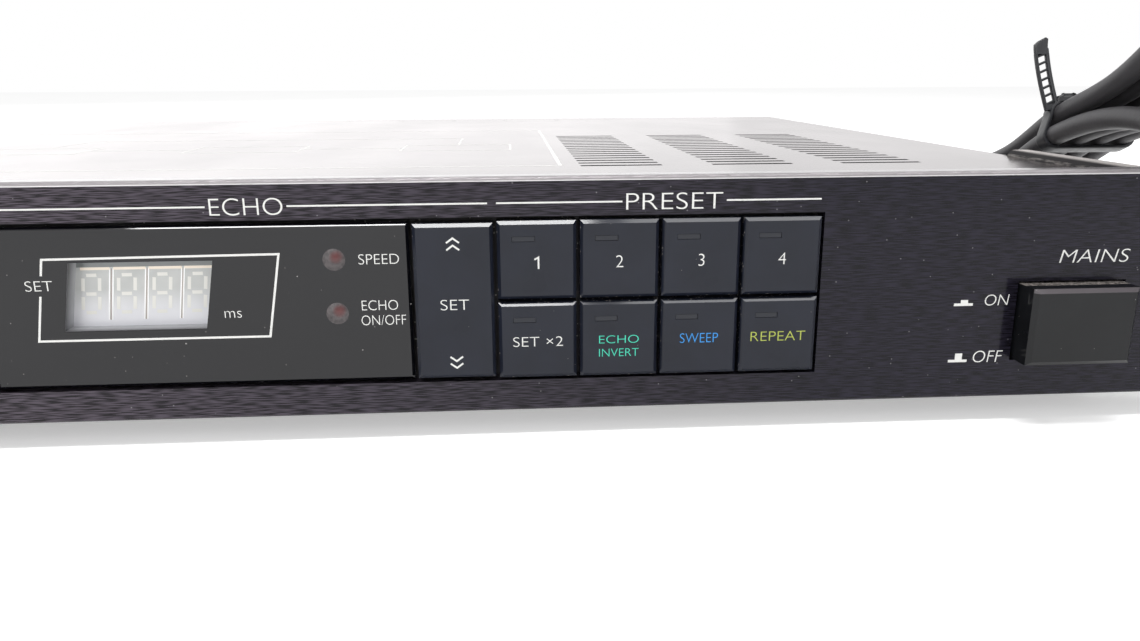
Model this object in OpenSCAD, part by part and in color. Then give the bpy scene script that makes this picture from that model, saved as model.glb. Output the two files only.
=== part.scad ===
// Rackmount delay unit, one rack unit high, with its mains cord tied up beside it.
// Millimetres. X runs to the right seen from the front, Y to the rear, Z up.
// The origin is the middle of the panel's front face, the centre of its rack slots.

/* [Panel] */
// Width of the front panel over both ears
panel_w = 482; // [480:0.5:484]
// Height of the front panel
panel_h = 44; // [43:0.1:46]
// Thickness of the front panel
panel_t = 4; // [3:0.1:5]
// Radius of the panel's long front edges
panel_edge_r = 0.8; // [0.3:0.1:1.5]
// Distance from the panel's end to the middle of a rack slot
slot_in = 8.45; // [7.5:0.05:9.5]
// Distance between the upper and lower rack slots
slot_spacing_z = 31.75; // [30:0.05:33]
// Width of a rack slot
slot_w = 6.8; // [6:0.1:7.5]
// Length of a rack slot
slot_len = 10.2; // [9:0.1:11]

/* [Case] */
// Width of the case over the cover's side flanges
case_w = 430; // [420:1:436]
// Height of the case from pan to cover
case_h = 40; // [39:0.1:44]
// Depth of the case behind the panel
case_d = 268; // [250:1:320]
// Thickness of the case's sheet metal
sheet_t = 1.2; // [0.8:0.1:1.5]
// How far the cover lies below the panel's top edge
cover_drop = 2.6; // [1.5:0.1:4]
// Height of the cover's side flanges
side_flange_h = 14; // [8:0.5:20]
// Height of the cover's rear flange
rear_flange_h = 8; // [6:0.5:9]
// Number of vent slots in a group
vent_count = 17; // [5:1:20]
// Width of a vent slot, front to back
vent_w = 2.2; // [1:0.1:4]
// Distance from one vent slot to the next
vent_pitch = 6.3; // [5:0.1:7]
// Length of a vent slot, side to side
vent_len = 18.5; // [10:0.5:24]
// Distance from one vent group to the next
vent_group_pitch = 30.1; // [26:0.1:34]
// Distance from the case's side to the middle vent group
vent_in = 68.1; // [65:0.1:95]
// Distance from the panel to the first vent slot
vent_start = 40; // [20:1:80]

/* [Brackets] */
// Depth of a side bracket behind the panel
bracket_d = 54; // [40:1:58]
// Thickness of a side bracket
bracket_t = 3.2; // [2:0.1:4]
// Reach of the bracket's flange along the panel
bracket_flange = 11.2; // [8:0.1:12]
// How far a bracket stands above the cover
bracket_rise = 1.8; // [0.5:0.1:2.2]
// Radius of the bracket's rear upper corner
bracket_corner_r = 4; // [1:0.5:8]

/* [Feet and screws] */
// Height of a rubber foot
foot_h = 6.4; // [4:0.1:10]
// Radius of a rubber foot
foot_r = 9; // [6:0.5:12]
// Distance from the case's side to a foot
foot_in = 30; // [20:1:65]
// Distance from the panel to the front feet
foot_front = 26; // [20:1:50]
// Distance from the front feet to the rear feet
foot_spacing_y = 215; // [150:5:215]
// Radius of a case screw
screw_r = 1.5; // [1:0.1:2]
// Radius of a case screw's head
screw_head_r = 3; // [2.5:0.1:3.5]
// Height of a case screw's head
screw_head_h = 2; // [1.5:0.1:2.5]

/* [Keys] */
// Pitch of the key field
key_pitch = 15; // [14:0.1:15.2]
// Gap between neighbouring caps
key_gap = 0.7; // [0.5:0.05:1.2]
// Left end of the key field
field_x = -1.6; // [-4:0.1:4]
// Height of the key field's middle
field_z = -0.5; // [-2:0.1:1]
// How far the caps stand out of the panel
key_proud = 1; // [0.5:0.1:2.5]
// Bevel on the front edges of a cap
key_bevel = 0.6; // [0.2:0.1:1]
// Side of a key's square stem
stem_w = 8; // [5:0.1:9]
// Travel of a key
key_travel = 0.7; // [0.3:0.05:0.8]
// Length of the small lamp window in a key
lamp_len = 4.2; // [2:0.1:5]
// Height of the small lamp window in a key
lamp_h = 1; // [0.6:0.1:1.6]
// Radius of the rocker's pins
rocker_pin_r = 1; // [0.7:0.05:1.3]
// Distance of the rocker's axis behind the panel
rocker_axis = 3.2; // [2.8:0.1:4]
// Tilt of the rocker to either side, in degrees
rocker_tilt = 2; // [1:0.1:2.2]

/* [Display] */
// Width of the display module
display_w = 26.2; // [20:0.1:32]
// Height of the display module
display_h = 12.6; // [8:0.1:16]
// Distance from the window's left edge to the display
display_x = 14; // [8:0.1:20]
// Height of the display's middle above the field's middle
display_z = 2.2; // [-3:0.1:4]
// Radius of an indicator lamp
lamp_r = 2; // [1.5:0.1:2.5]
// Distance from the window's left edge to the indicator lamps
lamp_x = 61.3; // [54:0.1:66]
// Height of the upper indicator lamp above the field's middle
lamp_z = 8.1; // [6:0.1:10]
// Distance from the upper to the lower indicator lamp
lamp_spacing = 9.9; // [8:0.1:12]

/* [Power key] */
// Width of the power key's cap
power_w = 20.4; // [16:0.1:21]
// Height of the power key's cap
power_h = 14.8; // [12:0.1:16]
// Distance from the case's side to the power key's middle
power_in = 17.3; // [16:0.1:29]
// Height of the power key's middle
power_z = -6.7; // [-8:0.1:0]
// How far the power key stands out when off
power_proud = 5.5; // [4.5:0.1:8]
// Travel of the power key
power_travel = 4; // [2:0.1:4]
// Gap around the power key's cap
power_gap = 0.4; // [0.3:0.05:0.8]

/* [Knobs] */
// Radius of a knob
knob_r = 8.5; // [7.5:0.1:10]
// Length of a knob
knob_len = 14.2; // [13:0.1:18]
// Radius of a control's shaft
shaft_r = 3; // [2.5:0.1:3.2]
// Height of the knobs' middle
knob_z = -1; // [-4:0.1:2]
// Distance from the case's side to the input knob
input_in = 28; // [25:0.5:31]
// Offset of the meter lamps from the middle between the input and rate knobs
meter_shift = -2; // [-4:0.5:4]
// Distance between meter lamps
meter_pitch = 6; // [5:0.1:6.5]
// Place of the rate knob along the panel
rate_x = -117; // [-122:0.5:-112]
// Distance between the rate, depth, feedback and output knobs
knob_pitch = 30; // [22:0.5:31]
// Radius of a meter lamp
meter_r = 1.5; // [1:0.1:1.8]

/* [Rear] */
// Number of jacks
jack_count = 6; // [2:1:6]
// Distance between jacks
jack_pitch = 23; // [18:0.5:24]
// Distance from the case's side to the nearest jack
jack_in = 78; // [75:0.5:90]
// Radius of a jack's bore
jack_r = 3.2; // [3.15:0.05:3.3]
// Radius of a jack's threaded bush
jack_bush_r = 4.5; // [4.2:0.1:5]
// Distance from the case's side to the rear slide switch
range_in = 50; // [45:0.5:55]
// Travel of the rear slide switch
range_travel = 6; // [3:0.5:7]
// Distance from the case's side to the mains gland
gland_in = 19; // [17:0.5:25]
// Height of the mains gland
gland_z = -6; // [-8:0.5:4]

/* [Inside] */
// Width of the main board
board_w = 260; // [200:1:264]
// Depth of the main board
board_d = 170; // [120:1:176]
// Thickness of a circuit board
board_t = 1.6; // [1:0.1:2]
// Height of the main board's standoffs
standoff_h = 8; // [5:0.5:9]
// Width of the transformer's core
core_w = 66; // [54:0.5:68]
// Depth of the transformer's core
core_d = 55; // [45:0.5:60]
// Height of the stack of core plates
core_h = 22; // [16:0.5:23]

/* [Cord] */
// Diameter of the mains cord
cord_d = 4.8; // [4:0.1:4.9]
// Number of loops in the tied hank
hank_turns = 4; // [2:1:5]
// Distance from one loop to the next
hank_pitch = 5.4; // [5.4:0.1:6]
// Radius of the folds at the hank's ends
hank_fold_r = 14.4; // [14.4:0.1:18]
// Slope of the hank ahead of the tie, in degrees
hank_front_tilt = 15; // [12:0.5:20]
// Slope of the hank behind the tie, in degrees
hank_rear_tilt = 30; // [24:0.5:30]
// Length of the hank ahead of the tie
hank_front = 60; // [50:1:66]
// Length of the hank behind the tie
hank_rear = 68; // [60:1:69]

/* [Hidden] */
$fn = 48;

// How far a cut runs past the face that it opens, and a joined shape into its neighbour
past = 1;
bury = 0.5;

// Room between pieces that are taken apart or that slide
slide_gap = 0.3;
// Room between a pin and its hole
pin_gap = 0.05;
// Room between a screw and its hole
screw_gap = 0.1;

// The case's planes, from the panel's back to the floor
y_back = panel_t;
y_rear = y_back + case_d;
z_top = panel_h / 2 - cover_drop;
z_lid = z_top - sheet_t;
z_bottom = z_top - case_h;
z_pan = z_bottom + sheet_t;
z_floor = z_bottom - foot_h;
side_out = case_w / 2;
wall_out = side_out - sheet_t;
wall_in = wall_out - sheet_t;
slot_spacing_x = panel_w - 2 * slot_in;
vent_x = side_out - vent_in;
foot_x = side_out - foot_in;
y_plate = y_rear - sheet_t;
y_inside = y_plate - sheet_t;

// The sub-panel and the front board behind it
y_sub = y_back + sheet_t;
board_gap = 10.8;
y_board = y_sub + board_gap;
switch_w = 6;
switch_d = 3.6;
plunger_r = 1.7;
plunger_d = 1;
y_plunger = y_board - switch_d - plunger_d;

// The key field: five pitches of window, one of rocker, four of keys in two rows
window_cols = 5;
key_cols = 4;
field_w = (window_cols + 1 + key_cols) * key_pitch;
field_end = field_x + field_w;
field_margin = key_gap / 2;
cap_w = key_pitch - key_gap;
cap_room = 1;
y_cap = y_back - cap_room;
y_stem = y_plunger - key_travel - slide_gap;
lamp_depth = 0.4;
lamp_at = [-2.4, 3.9];
rocker_x = field_x + (window_cols + 0.5) * key_pitch;
rocker_room = 2 * (key_proud + panel_t + rocker_axis) * sin(rocker_tilt);
rocker_h = 2 * key_pitch - key_gap - rocker_room;
rocker_y = y_back + rocker_axis;
hub_w = 8;
hub_h = 4.8;
hub_back = 2.2;
ear_t = 2;
ear_gap = 0.5;
ear_h = 4.8;
pin_short = 0.2;
rocker_post = [4, 3];
rocker_post_z = 10;
rocker_play = slide_gap + rocker_axis * sin(rocker_tilt);
key_xs = [for (i = [0:key_cols - 1]) field_x + (window_cols + 1.5 + i) * key_pitch];
key_zs = [field_z + key_pitch / 2, field_z - key_pitch / 2];
post_r = 2.5;
post_out = 4.5;
post_z = 13;
board_edge = 8.5;
front_board_h = 34;
lamp_proud = 0.4;
lamp_gap = 0.1;
window_seat = 3;
display_mid = field_x + display_x + display_w / 2;
lamp_zs = [field_z + lamp_z, field_z + lamp_z - lamp_spacing];

// The power key, its switch and the switch's foot
power_x = side_out - power_in;
power_back = 5.5;
power_stem_r = 2.5;
power_stem_gap = 0.1;
power_stem_len = 14.5;
power_bevel = 0.8;
y_power_cap = y_back + power_back;
switch_room = 2.5;
stem_room = 1;
y_switch = y_power_cap + power_travel + switch_room;
y_power_stem = y_power_cap + power_stem_len;
power_switch = [16, 32, 14];
power_foot_w = 20;

// The controls: knob, shaft, bush, nut and body
knob_gap = 0.8;
knob_wall = 2;
knob_face = 3;
knob_chamfer = 0.8;
knob_bore_gap = 0.02;
knob_tip_gap = 0.3;
pointer_w = 1.2;
pointer_d = 0.5;
pointer_in = 2.8;
bush_wall = 0.45;
bush_r = shaft_r + pin_gap + bush_wall;
bush_out = 3.2;
nut_h = 2.2;
nut_r = 5.77;
pot_r = 8;
pot_d = 9.8;
shaft_in = 6.8;
input_x = input_in - side_out;
knob_xs = [input_x, rate_x, rate_x + knob_pitch, rate_x + 2 * knob_pitch, rate_x + 3 * knob_pitch];
y_knob = -knob_gap;
y_knob_face = y_knob - knob_len;
y_shaft_tip = y_knob_face + knob_face;
knob_sink = 3.2;
meter_count = 5;
meter_mid = (input_x + rate_x) / 2 + meter_shift;
meter_xs = [for (i = [0:meter_count - 1]) meter_mid + (i - (meter_count - 1) / 2) * meter_pitch];
meter_flange_r = 2.2;
meter_flange_t = 1;
meter_leg = 6;

// Screws of the brackets and the cover
bracket_screws_from = [14, 40];
bracket_screw_y = [for (from = bracket_screws_from) y_back + from];
bracket_screw_z = -2;
bracket_bite = 6;
cover_screw_in = 82;
cover_screw_y = y_rear - cover_screw_in;
cover_screw_z = z_top - side_flange_h / 2;
rear_screw_z = z_top - rear_flange_h / 2;
rear_screw_in = 35;
rear_screw_xs = [rear_screw_in - side_out, 0, side_out - rear_screw_in];
cover_bite = 5;
cross_len = 3;
cross_w = 0.8;
cross_d = 0.9;
bracket_gap = 0.2;
split_gap = 1;
y_split = y_back + bracket_d + split_gap;
bracket_low = 0.6;

// Feet, seen from the middle of the case
foot_ys = [y_back + foot_front, y_back + foot_front + foot_spacing_y];
foot_taper = 1;
foot_pocket_r = 4;
foot_pocket_d = 3;
foot_bite = 3;

// Rear jacks, slide switch and gland
jack_x = side_out - jack_in;
range_x = side_out - range_in;
gland_x = side_out - gland_in;
jack_z = 0;
jack_xs = [for (i = [0:jack_count - 1]) jack_x - i * jack_pitch];
jack_body = [14, 24, 14];
jack_out = 5.2;
jack_deep = 22;
jack_nut_r = 8;
jack_nut_h = 2.2;
range_z = 0;
range_lever = [6, 4];
range_body = [24, 11.6, 10];
range_out = 3.4;
range_wall = 2.4;
relief_neck_r = 4.9;
relief_hole_gap = 0.1;
relief_flange_r = 7.5;
relief_flange_t = 2.2;
relief_root_r = 6;
relief_tip_r = 3.2;
relief_len = 19;
relief_inside = 3.6;
y_relief = y_plate + relief_flange_t + relief_len;

// Boards, heat sink and transformer inside the case
board_in = 15;
board_x = board_in - side_out;
board_front = 56;
board_y = y_back + board_front;
z_board = z_pan + standoff_h;
z_parts = z_board + board_t;
standoff_r = 3;
standoff_in = 8;
standoff_floor = 1;
chip = [20, 6.4, 3.6];
chip_step = [34, 40];
chip_cols = 5;
chip_rows = 3;
chip_at = [24, 30];
capacitors_at = [[24, 30, 6, 20], [24, 52, 6, 20], [28, 84, 8, 24], [28, 110, 8, 24], [48, 140, 5, 14],
    [32, 140, 5, 14]];
sink_gap = 20;
sink_at = [board_x + board_w + sink_gap, board_y];
sink = [30, 40, 30];
sink_base = 4;
sink_fins = 5;
sink_fin_t = 2;
regulator = [4.5, 10, 16];
regulator_lift = 8;
core_in = 57;
core_x = side_out - core_in;
core_front = 146;
core_y = y_back + core_front;
coil_wall = 10;
coil_over = 6;
coil_gap = 0.3;
core_leg = core_w / 3;
core_yoke = core_w / 6;
coil_lift = 1;
z_core = z_pan + coil_lift + coil_over + coil_gap;
core_post_r = 3;
core_post_edge = 1;

// The hank: its tie point, how gently it bends there, and the level and rising parts of its slope
hank_at_tie = [221, 52, 26.8];
hank_waist = 2.7;
hank_bend = 8;
hank_draw = 4;
hank_lean = (hank_front_tilt + hank_rear_tilt) / 2;
slope_mid = [cos(hank_front_tilt) + cos(hank_rear_tilt), sin(hank_front_tilt) + sin(hank_rear_tilt)] / 2;
slope_turn = [cos(hank_front_tilt) - cos(hank_rear_tilt), sin(hank_front_tilt) - sin(hank_rear_tilt)] / 2;
cord_r = cord_d / 2;
loop_rings = 24;
hank_sides = 6;
lead_sides = 10;

// The tie round the hank's waist
tie_w = 3.6;
tie_t = 1;
tie_gap = 0.3;
tie_room = 0.3;
tie_half = hank_waist + cord_r + tie_room;
tie_head = [5, 5, 2];
tie_tail = [3.6, 1.1, 15.5];
tie_tail_in = 2.7;
tie_head_gap = 0.4;
tie_windows = 6;
tie_window = [2, 1.2];
tie_window_step = 1.95;
tie_window_start = 1.6;
waist_climb = 0.46;

// The plug and its pins
plug_x = 254;
plug_y = 258;
plug_body = [26, 28, 13.5];
plug_boot_len = 16;
plug_boot_tip_r = 3.4;
plug_boot_r = 6;
plug_bevel = 2;
pin_r = 2;
pin_len = 19;
pin_spacing = 19;
plug_z = z_floor + plug_body[2] / 2;

// Where the cord enters and leaves the hank
hank_in = hank_point(-hank_rear - cord_d, -hank_fold_r, 0);
hank_out = hank_point(-hank_rear - cord_d, hank_fold_r, hank_turns * hank_pitch);

// Route of the mains lead from its gland round to the hank
lead_route = [[gland_x, y_relief, gland_z], [gland_x, y_relief + 10, gland_z - 0.5],
    [198.7, 312, -9], [206, 319.3, -12.5], [216, 322, -16.5], [226, 319.3, -20], [233.3, 312, -22.8],
    [236, 302, -24.2], [236, 291, -24.5], [235, 279, -24.5], [232.5, 267, -24.5], [229.5, 255, -24.5],
    [226.8, 243, -24.5], [224.2, 231, -24.5], [222, 219, -24.5], [220.5, 207, -24.5], [219.6, 195, -24.5],
    [219.4, 183, -24.5], [219.6, 171, -24.5], [220.1, 159, -24.5], [220.6, 147, -24.5], [220.9, 138, -24.5],
    [221, 131, -24.5], [221, 124, -24.4], [221, 117.5, -23.8], [221, 112.6, -22.8], hank_in];

// Route of the plug's lead from the hank to the plug
plug_route = [hank_out, [242.6, 129, 0.3], [242.6, 137, -3.8], [242.6, 147, -8.4], [242.8, 157, -12.4],
    [243.4, 167, -15.9], [244.3, 177, -18.7], [245.5, 187, -20.9], [246.9, 197, -22.5], [248.3, 207, -23.4],
    [249.8, 217, -23.7], [251.2, 227, -23.2], [252.5, 237, -21.9], [253.4, 245, -20.8], [plug_x, 252, plug_z],
    [plug_x, plug_y, plug_z]];

// Block between two corners
module plate(x0, x1, y0, y1, z0, z1) {
    translate([x0, y0, z0]) cube([x1 - x0, y1 - y0, z1 - z0]);
}

// Round bars along each axis
module rod_x(y, z, x0, x1, r) {
    translate([x0, y, z]) rotate([0, 90, 0]) cylinder(h = x1 - x0, r = r);
}

module rod_y(x, z, y0, y1, r) {
    translate([x, y0, z]) rotate([-90, 0, 0]) cylinder(h = y1 - y0, r = r);
}

module rod_z(x, y, z0, z1, r) {
    translate([x, y, z0]) cylinder(h = z1 - z0, r = r);
}

// The same piece on the left and on the right
module both_sides() {
    children();
    mirror([1, 0, 0]) children();
}

// Cross-head screw standing on its tip's end, head upwards, seat at the origin
module screw(length) {
    difference() {
        union() {
            translate([0, 0, -length]) cylinder(h = length + bury, r = screw_r);
            cylinder(h = screw_head_h, r = screw_head_r);
        }
        for (turn = [0, 90])
            rotate([0, 0, turn])
                plate(-cross_len / 2, cross_len / 2, -cross_w / 2, cross_w / 2,
                    screw_head_h - cross_d, screw_head_h + past);
    }
}

// Cap whose front edges are bevelled, between two planes along Y
module bevel_cap(w, h, y0, y1, bevel) {
    intersection() {
        translate([0, 0, -h]) linear_extrude(2 * h)
            polygon([[-w / 2, y1], [-w / 2, y0 + bevel], [-w / 2 + bevel, y0],
                [w / 2 - bevel, y0], [w / 2, y0 + bevel], [w / 2, y1]]);
        rotate([90, 0, 90]) translate([0, 0, -w]) linear_extrude(2 * w)
            polygon([[y1, -h / 2], [y0 + bevel, -h / 2], [y0, -h / 2 + bevel],
                [y0, h / 2 - bevel], [y0 + bevel, h / 2], [y1, h / 2]]);
    }
}

// Direction of a vector, and of a path at one of its points
function unit(v) = v / norm(v);
function heading(path, i) = unit(path[min(i + 1, len(path) - 1)] - path[max(i - 1, 0)]);

// Points of one ring of a tube, square to its heading
function ring(centre, along, r, sides, side_hint) =
    let (a = unit(side_hint - (side_hint * along) * along), b = cross(along, a))
    [for (k = [0:sides - 1]) centre + r * (cos(360 * k / sides) * a + sin(360 * k / sides) * b)];

// Round tube swept along a path, closed at both ends
module tube(path, r, sides, side_hint) {
    last = (len(path) - 1) * sides;
    points = [for (i = [0:len(path) - 1]) each ring(path[i], heading(path, i), r, sides, side_hint)];
    wall = [for (i = [0:len(path) - 2], k = [0:sides - 1])
        let (p = i * sides + k, q = i * sides + (k + 1) % sides)
        each [[p, p + sides, q + sides], [p, q + sides, q]]];
    ends = [for (k = [1:sides - 2]) each [[0, k, k + 1], [last, last + k + 1, last + k]]];
    polyhedron(points = points, faces = concat(wall, ends));
}

// Point of the hank from its place along it, across it and in its stack
function hank_point(u, v, w) =
    let (root = sqrt(u * u + hank_bend * hank_bend), slope = slope_mid + u / root * slope_turn,
        way = u * slope_mid + (root - hank_bend) * slope_turn)
    hank_at_tie + [w, v * slope[1] - way[0], way[1] + v * slope[0]];

// Half the height of a loop, drawn in at the waist
function hank_half(u) =
    let (share = abs(u) / (u > 0 ? hank_front : hank_rear))
    hank_waist + (hank_fold_r - hank_waist) * pow(sin(90 * share), hank_draw);

// Cord's middle after s loops: rear fold, lower run, front fold, upper run with its climb
function hank_path(s) =
    let (i = floor(s), f = s - i, run = hank_front + hank_rear)
    f < 0.25 ? hank_point(-hank_rear - hank_fold_r * sin(720 * f), hank_fold_r * cos(720 * f),
        hank_pitch * i)
    : f < 0.5 ? let (u = -hank_rear + run * (4 * f - 1)) hank_point(u, -hank_half(u), hank_pitch * i)
    : f < 0.75 ? let (a = 720 * f - 360)
        hank_point(hank_front + hank_fold_r * sin(a), -hank_fold_r * cos(a), hank_pitch * i)
    : let (p = 4 * f - 3, u = hank_front - run * p)
        hank_point(u, hank_half(u), hank_pitch * (i + p * p * (3 - 2 * p)));

hank_steps = loop_rings * (hank_turns - 0.25);
hank_route = concat([hank_in], [for (k = [0:hank_steps]) hank_path(0.25 + k / loop_rings)], [hank_out]);

// Distance from a point to a straight piece of the path, and the hank's least gap to itself
function reach(p, a, b) =
    let (t = max(0, min(1, (p - a) * (b - a) / ((b - a) * (b - a))))) norm(p - a - t * (b - a));
hank_gap = min([for (i = [0:len(hank_route) - 1], j = [0:len(hank_route) - 2])
    if (abs(i - j) > 4) reach(hank_route[i], hank_route[j], hank_route[j + 1])]) - cord_d;
echo(hank_least_gap = hank_gap);

// Steel pan: the case's floor and side walls
module chassis_pan() {
    color("dimgray") difference() {
        union() {
            plate(-wall_out, wall_out, y_back, y_plate, z_bottom, z_pan);
            both_sides() plate(wall_in, wall_out, y_back, y_plate, z_bottom, z_lid);
        }
        for (x = [-1, 1], y = foot_ys)
            rod_z(x * foot_x, y, z_bottom - past, z_pan + past, screw_r + screw_gap);
        both_sides() {
            for (y = bracket_screw_y)
                rod_x(y, bracket_screw_z, wall_in - past, wall_out + past, screw_r + screw_gap);
            rod_x(cover_screw_y, cover_screw_z, wall_in - past, wall_out + past, screw_r + screw_gap);
        }
    }
}

// Cover with its side and rear flanges and three groups of vent slots
module top_cover() {
    color([0.16, 0.15, 0.16]) difference() {
        union() {
            plate(-wall_out + bracket_gap, wall_out - bracket_gap, y_back, y_split + bury, z_lid, z_top);
            plate(-side_out, side_out, y_split, y_rear, z_lid, z_top);
            both_sides() plate(wall_out, side_out, y_split, y_rear, z_top - side_flange_h, z_top);
            plate(-side_out, side_out, y_plate, y_rear, z_top - rear_flange_h, z_top);
        }
        for (group = [-1:1], i = [0:vent_count - 1])
            translate([vent_x + group * vent_group_pitch, y_back + vent_start + i * vent_pitch,
                z_lid - past])
                plate(-vent_len / 2, vent_len / 2, 0, vent_w, 0, sheet_t + 2 * past);
        both_sides() rod_x(cover_screw_y, cover_screw_z, wall_out - past, side_out + past,
            screw_r + screw_gap);
        for (x = rear_screw_xs)
            rod_y(x, rear_screw_z, y_plate - past, y_rear + past, screw_r + screw_gap);
    }
}

// Rear panel with its jack, switch and gland openings
module rear_panel() {
    color("dimgray") difference() {
        plate(-wall_in, wall_in, y_inside, y_plate, z_pan, z_lid);
        for (x = jack_xs)
            rod_y(x, jack_z, y_inside - past, y_plate + past, jack_bush_r + screw_gap);
        range_opening(y_inside - past, y_plate + past);
        rod_y(gland_x, gland_z, y_inside - past, y_plate + past, relief_neck_r + relief_hole_gap);
        for (x = rear_screw_xs)
            rod_y(x, rear_screw_z, y_inside - past, y_plate + past, screw_r + screw_gap);
    }
}

// Room in which the rear slide switch's lever travels
module range_opening(y0, y1) {
    reach_x = (range_lever[0] + range_travel) / 2 + slide_gap;
    reach_z = range_lever[1] / 2 + slide_gap;
    plate(range_x - reach_x, range_x + reach_x, y0, y1, range_z - reach_z, range_z + reach_z);
}

// Section of the front panel: front face at zero, long edges rounded in front
module panel_section() {
    top = panel_h / 2 - panel_edge_r;
    turns = [0:15:90];
    polygon(concat([[panel_t, -panel_h / 2]],
        [for (a = turns) [panel_edge_r - panel_edge_r * sin(a), -top - panel_edge_r * cos(a)]],
        [for (a = turns) [panel_edge_r - panel_edge_r * cos(a), top + panel_edge_r * sin(a)]],
        [[panel_t, panel_h / 2]]));
}

// Slot with round ends through the panel, for a rack screw
module rack_slot() {
    end = (slot_len - slot_w) / 2;
    for (x = [-end, end])
        rod_y(x, 0, -past, panel_t + past, slot_w / 2);
    plate(-end, end, -past, panel_t + past, -slot_w / 2, slot_w / 2);
}

// Brushed aluminium front panel
module front_panel() {
    color([0.13, 0.12, 0.14]) difference() {
        rotate([90, 0, 90]) linear_extrude(panel_w, center = true) panel_section();
        for (x = [-1, 1], z = [-1, 1])
            translate([x * slot_spacing_x / 2, 0, z * slot_spacing_z / 2]) rack_slot();
        plate(field_x - field_margin, field_end + field_margin, -past, panel_t + past,
            field_z - key_pitch - field_margin, field_z + key_pitch + field_margin);
        power_opening(-past, panel_t + past);
        for (x = knob_xs)
            rod_y(x, knob_z, -past, panel_t + past, bush_r + screw_gap);
        for (x = meter_xs)
            rod_y(x, knob_z, -past, panel_t + past, meter_r + screw_gap);
    }
}

// Opening for the power key's cap
module power_opening(y0, y1) {
    plate(power_x - power_w / 2 - power_gap, power_x + power_w / 2 + power_gap, y0, y1,
        power_z - power_h / 2 - power_gap, power_z + power_h / 2 + power_gap);
}

// Sub-panel behind the front panel: guides the keys and carries the front board
module subpanel() {
    stem_hole = stem_w / 2 + slide_gap;
    ear_in = hub_w / 2 + ear_gap;
    color([0.16, 0.15, 0.16]) difference() {
        union() {
            plate(-wall_in, wall_in, y_back, y_sub, z_pan, z_lid);
            for (x = [field_x - post_out, field_end + post_out], z = [-post_z, post_z])
                rod_y(x, field_z + z, y_sub - bury, y_board, post_r);
            translate([rocker_x, 0, field_z]) both_sides()
                plate(ear_in, ear_in + ear_t, y_sub - bury, rocker_y + hub_back, -ear_h / 2, ear_h / 2);
        }
        plate(field_x + display_x - slide_gap, field_x + display_x + display_w + slide_gap, y_back - past,
            y_sub + past, field_z + display_z - display_h / 2 - slide_gap,
            field_z + display_z + display_h / 2 + slide_gap);
        for (z = lamp_zs)
            rod_y(field_x + lamp_x, z, y_back - past, y_sub + past, lamp_r + slide_gap);
        for (x = key_xs, z = key_zs)
            plate(x - stem_hole, x + stem_hole, y_back - past, y_sub + past, z - stem_hole, z + stem_hole);
        translate([rocker_x, 0, field_z]) {
            plate(-hub_w / 2 - slide_gap, hub_w / 2 + slide_gap, y_back - past, y_sub + past,
                -hub_h / 2 - rocker_play, hub_h / 2 + rocker_play);
            for (z = [-rocker_post_z, rocker_post_z])
                plate(-rocker_post[0] / 2 - slide_gap, rocker_post[0] / 2 + slide_gap, y_back - past,
                    y_sub + past,
                    z - rocker_post[1] / 2 - rocker_play, z + rocker_post[1] / 2 + rocker_play);
            rod_x(rocker_y, 0, -key_pitch / 2, key_pitch / 2, rocker_pin_r + pin_gap);
        }
        power_opening(y_back - past, y_sub + past);
        for (x = knob_xs)
            rod_y(x, knob_z, y_back - past, y_sub + past, bush_r + screw_gap);
        for (x = meter_xs)
            rod_y(x, knob_z, y_back - past, y_sub + past, meter_r + screw_gap);
    }
}

// Side bracket that ties the case to the panel's ear, on the right
module bracket() {
    top = z_top + bracket_rise;
    end = y_back + bracket_d;
    difference() {
        union() {
            rod_x(end - bracket_corner_r, top - bracket_corner_r, wall_out, wall_out + bracket_t,
                bracket_corner_r);
            plate(wall_out, wall_out + bracket_t, y_back, end - bracket_corner_r,
                z_bottom + bracket_low, top);
            plate(wall_out, wall_out + bracket_t, y_back, end, z_bottom + bracket_low,
                top - bracket_corner_r);
            plate(wall_out, wall_out + bracket_flange, y_back, y_back + bracket_t,
                z_bottom + bracket_low, top);
        }
        for (y = bracket_screw_y)
            rod_x(y, bracket_screw_z, wall_out - past, wall_out + bracket_t + past, screw_r + screw_gap);
    }
}

module right_bracket() {
    color("gray") bracket();
}

module left_bracket() {
    color("gray") mirror([1, 0, 0]) bracket();
}

// Screws that hold the brackets to the pan's walls
module bracket_screws() {
    color("silver") for (side = [0, 1], y = bracket_screw_y)
        mirror([side, 0, 0]) translate([wall_out + bracket_t, y, bracket_screw_z])
            rotate([0, 90, 0]) screw(bracket_bite);
}

// Screws of the cover's side and rear flanges
module cover_screws() {
    color("silver") {
        for (side = [0, 1])
            mirror([side, 0, 0]) translate([side_out, cover_screw_y, cover_screw_z])
                rotate([0, 90, 0]) screw(cover_bite);
        for (x = rear_screw_xs)
            translate([x, y_rear, rear_screw_z]) rotate([-90, 0, 0]) screw(cover_bite);
    }
}

// Four rubber feet, each with a pocket for its screw
module rubber_feet() {
    color([0.1, 0.1, 0.1]) for (x = [-1, 1], y = foot_ys)
        translate([x * foot_x, y, z_floor]) difference() {
            cylinder(h = foot_h, r1 = foot_r - foot_taper, r2 = foot_r);
            translate([0, 0, -past]) cylinder(h = foot_pocket_d + past, r = foot_pocket_r);
            cylinder(h = foot_h + past, r = screw_r + screw_gap);
        }
}

// Screws that hold the feet to the pan
module foot_screws() {
    grip = foot_h - foot_pocket_d + sheet_t + foot_bite;
    color("silver") for (x = [-1, 1], y = foot_ys)
        translate([x * foot_x, y, z_floor + foot_pocket_d]) rotate([180, 0, 0]) screw(grip);
}

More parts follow.
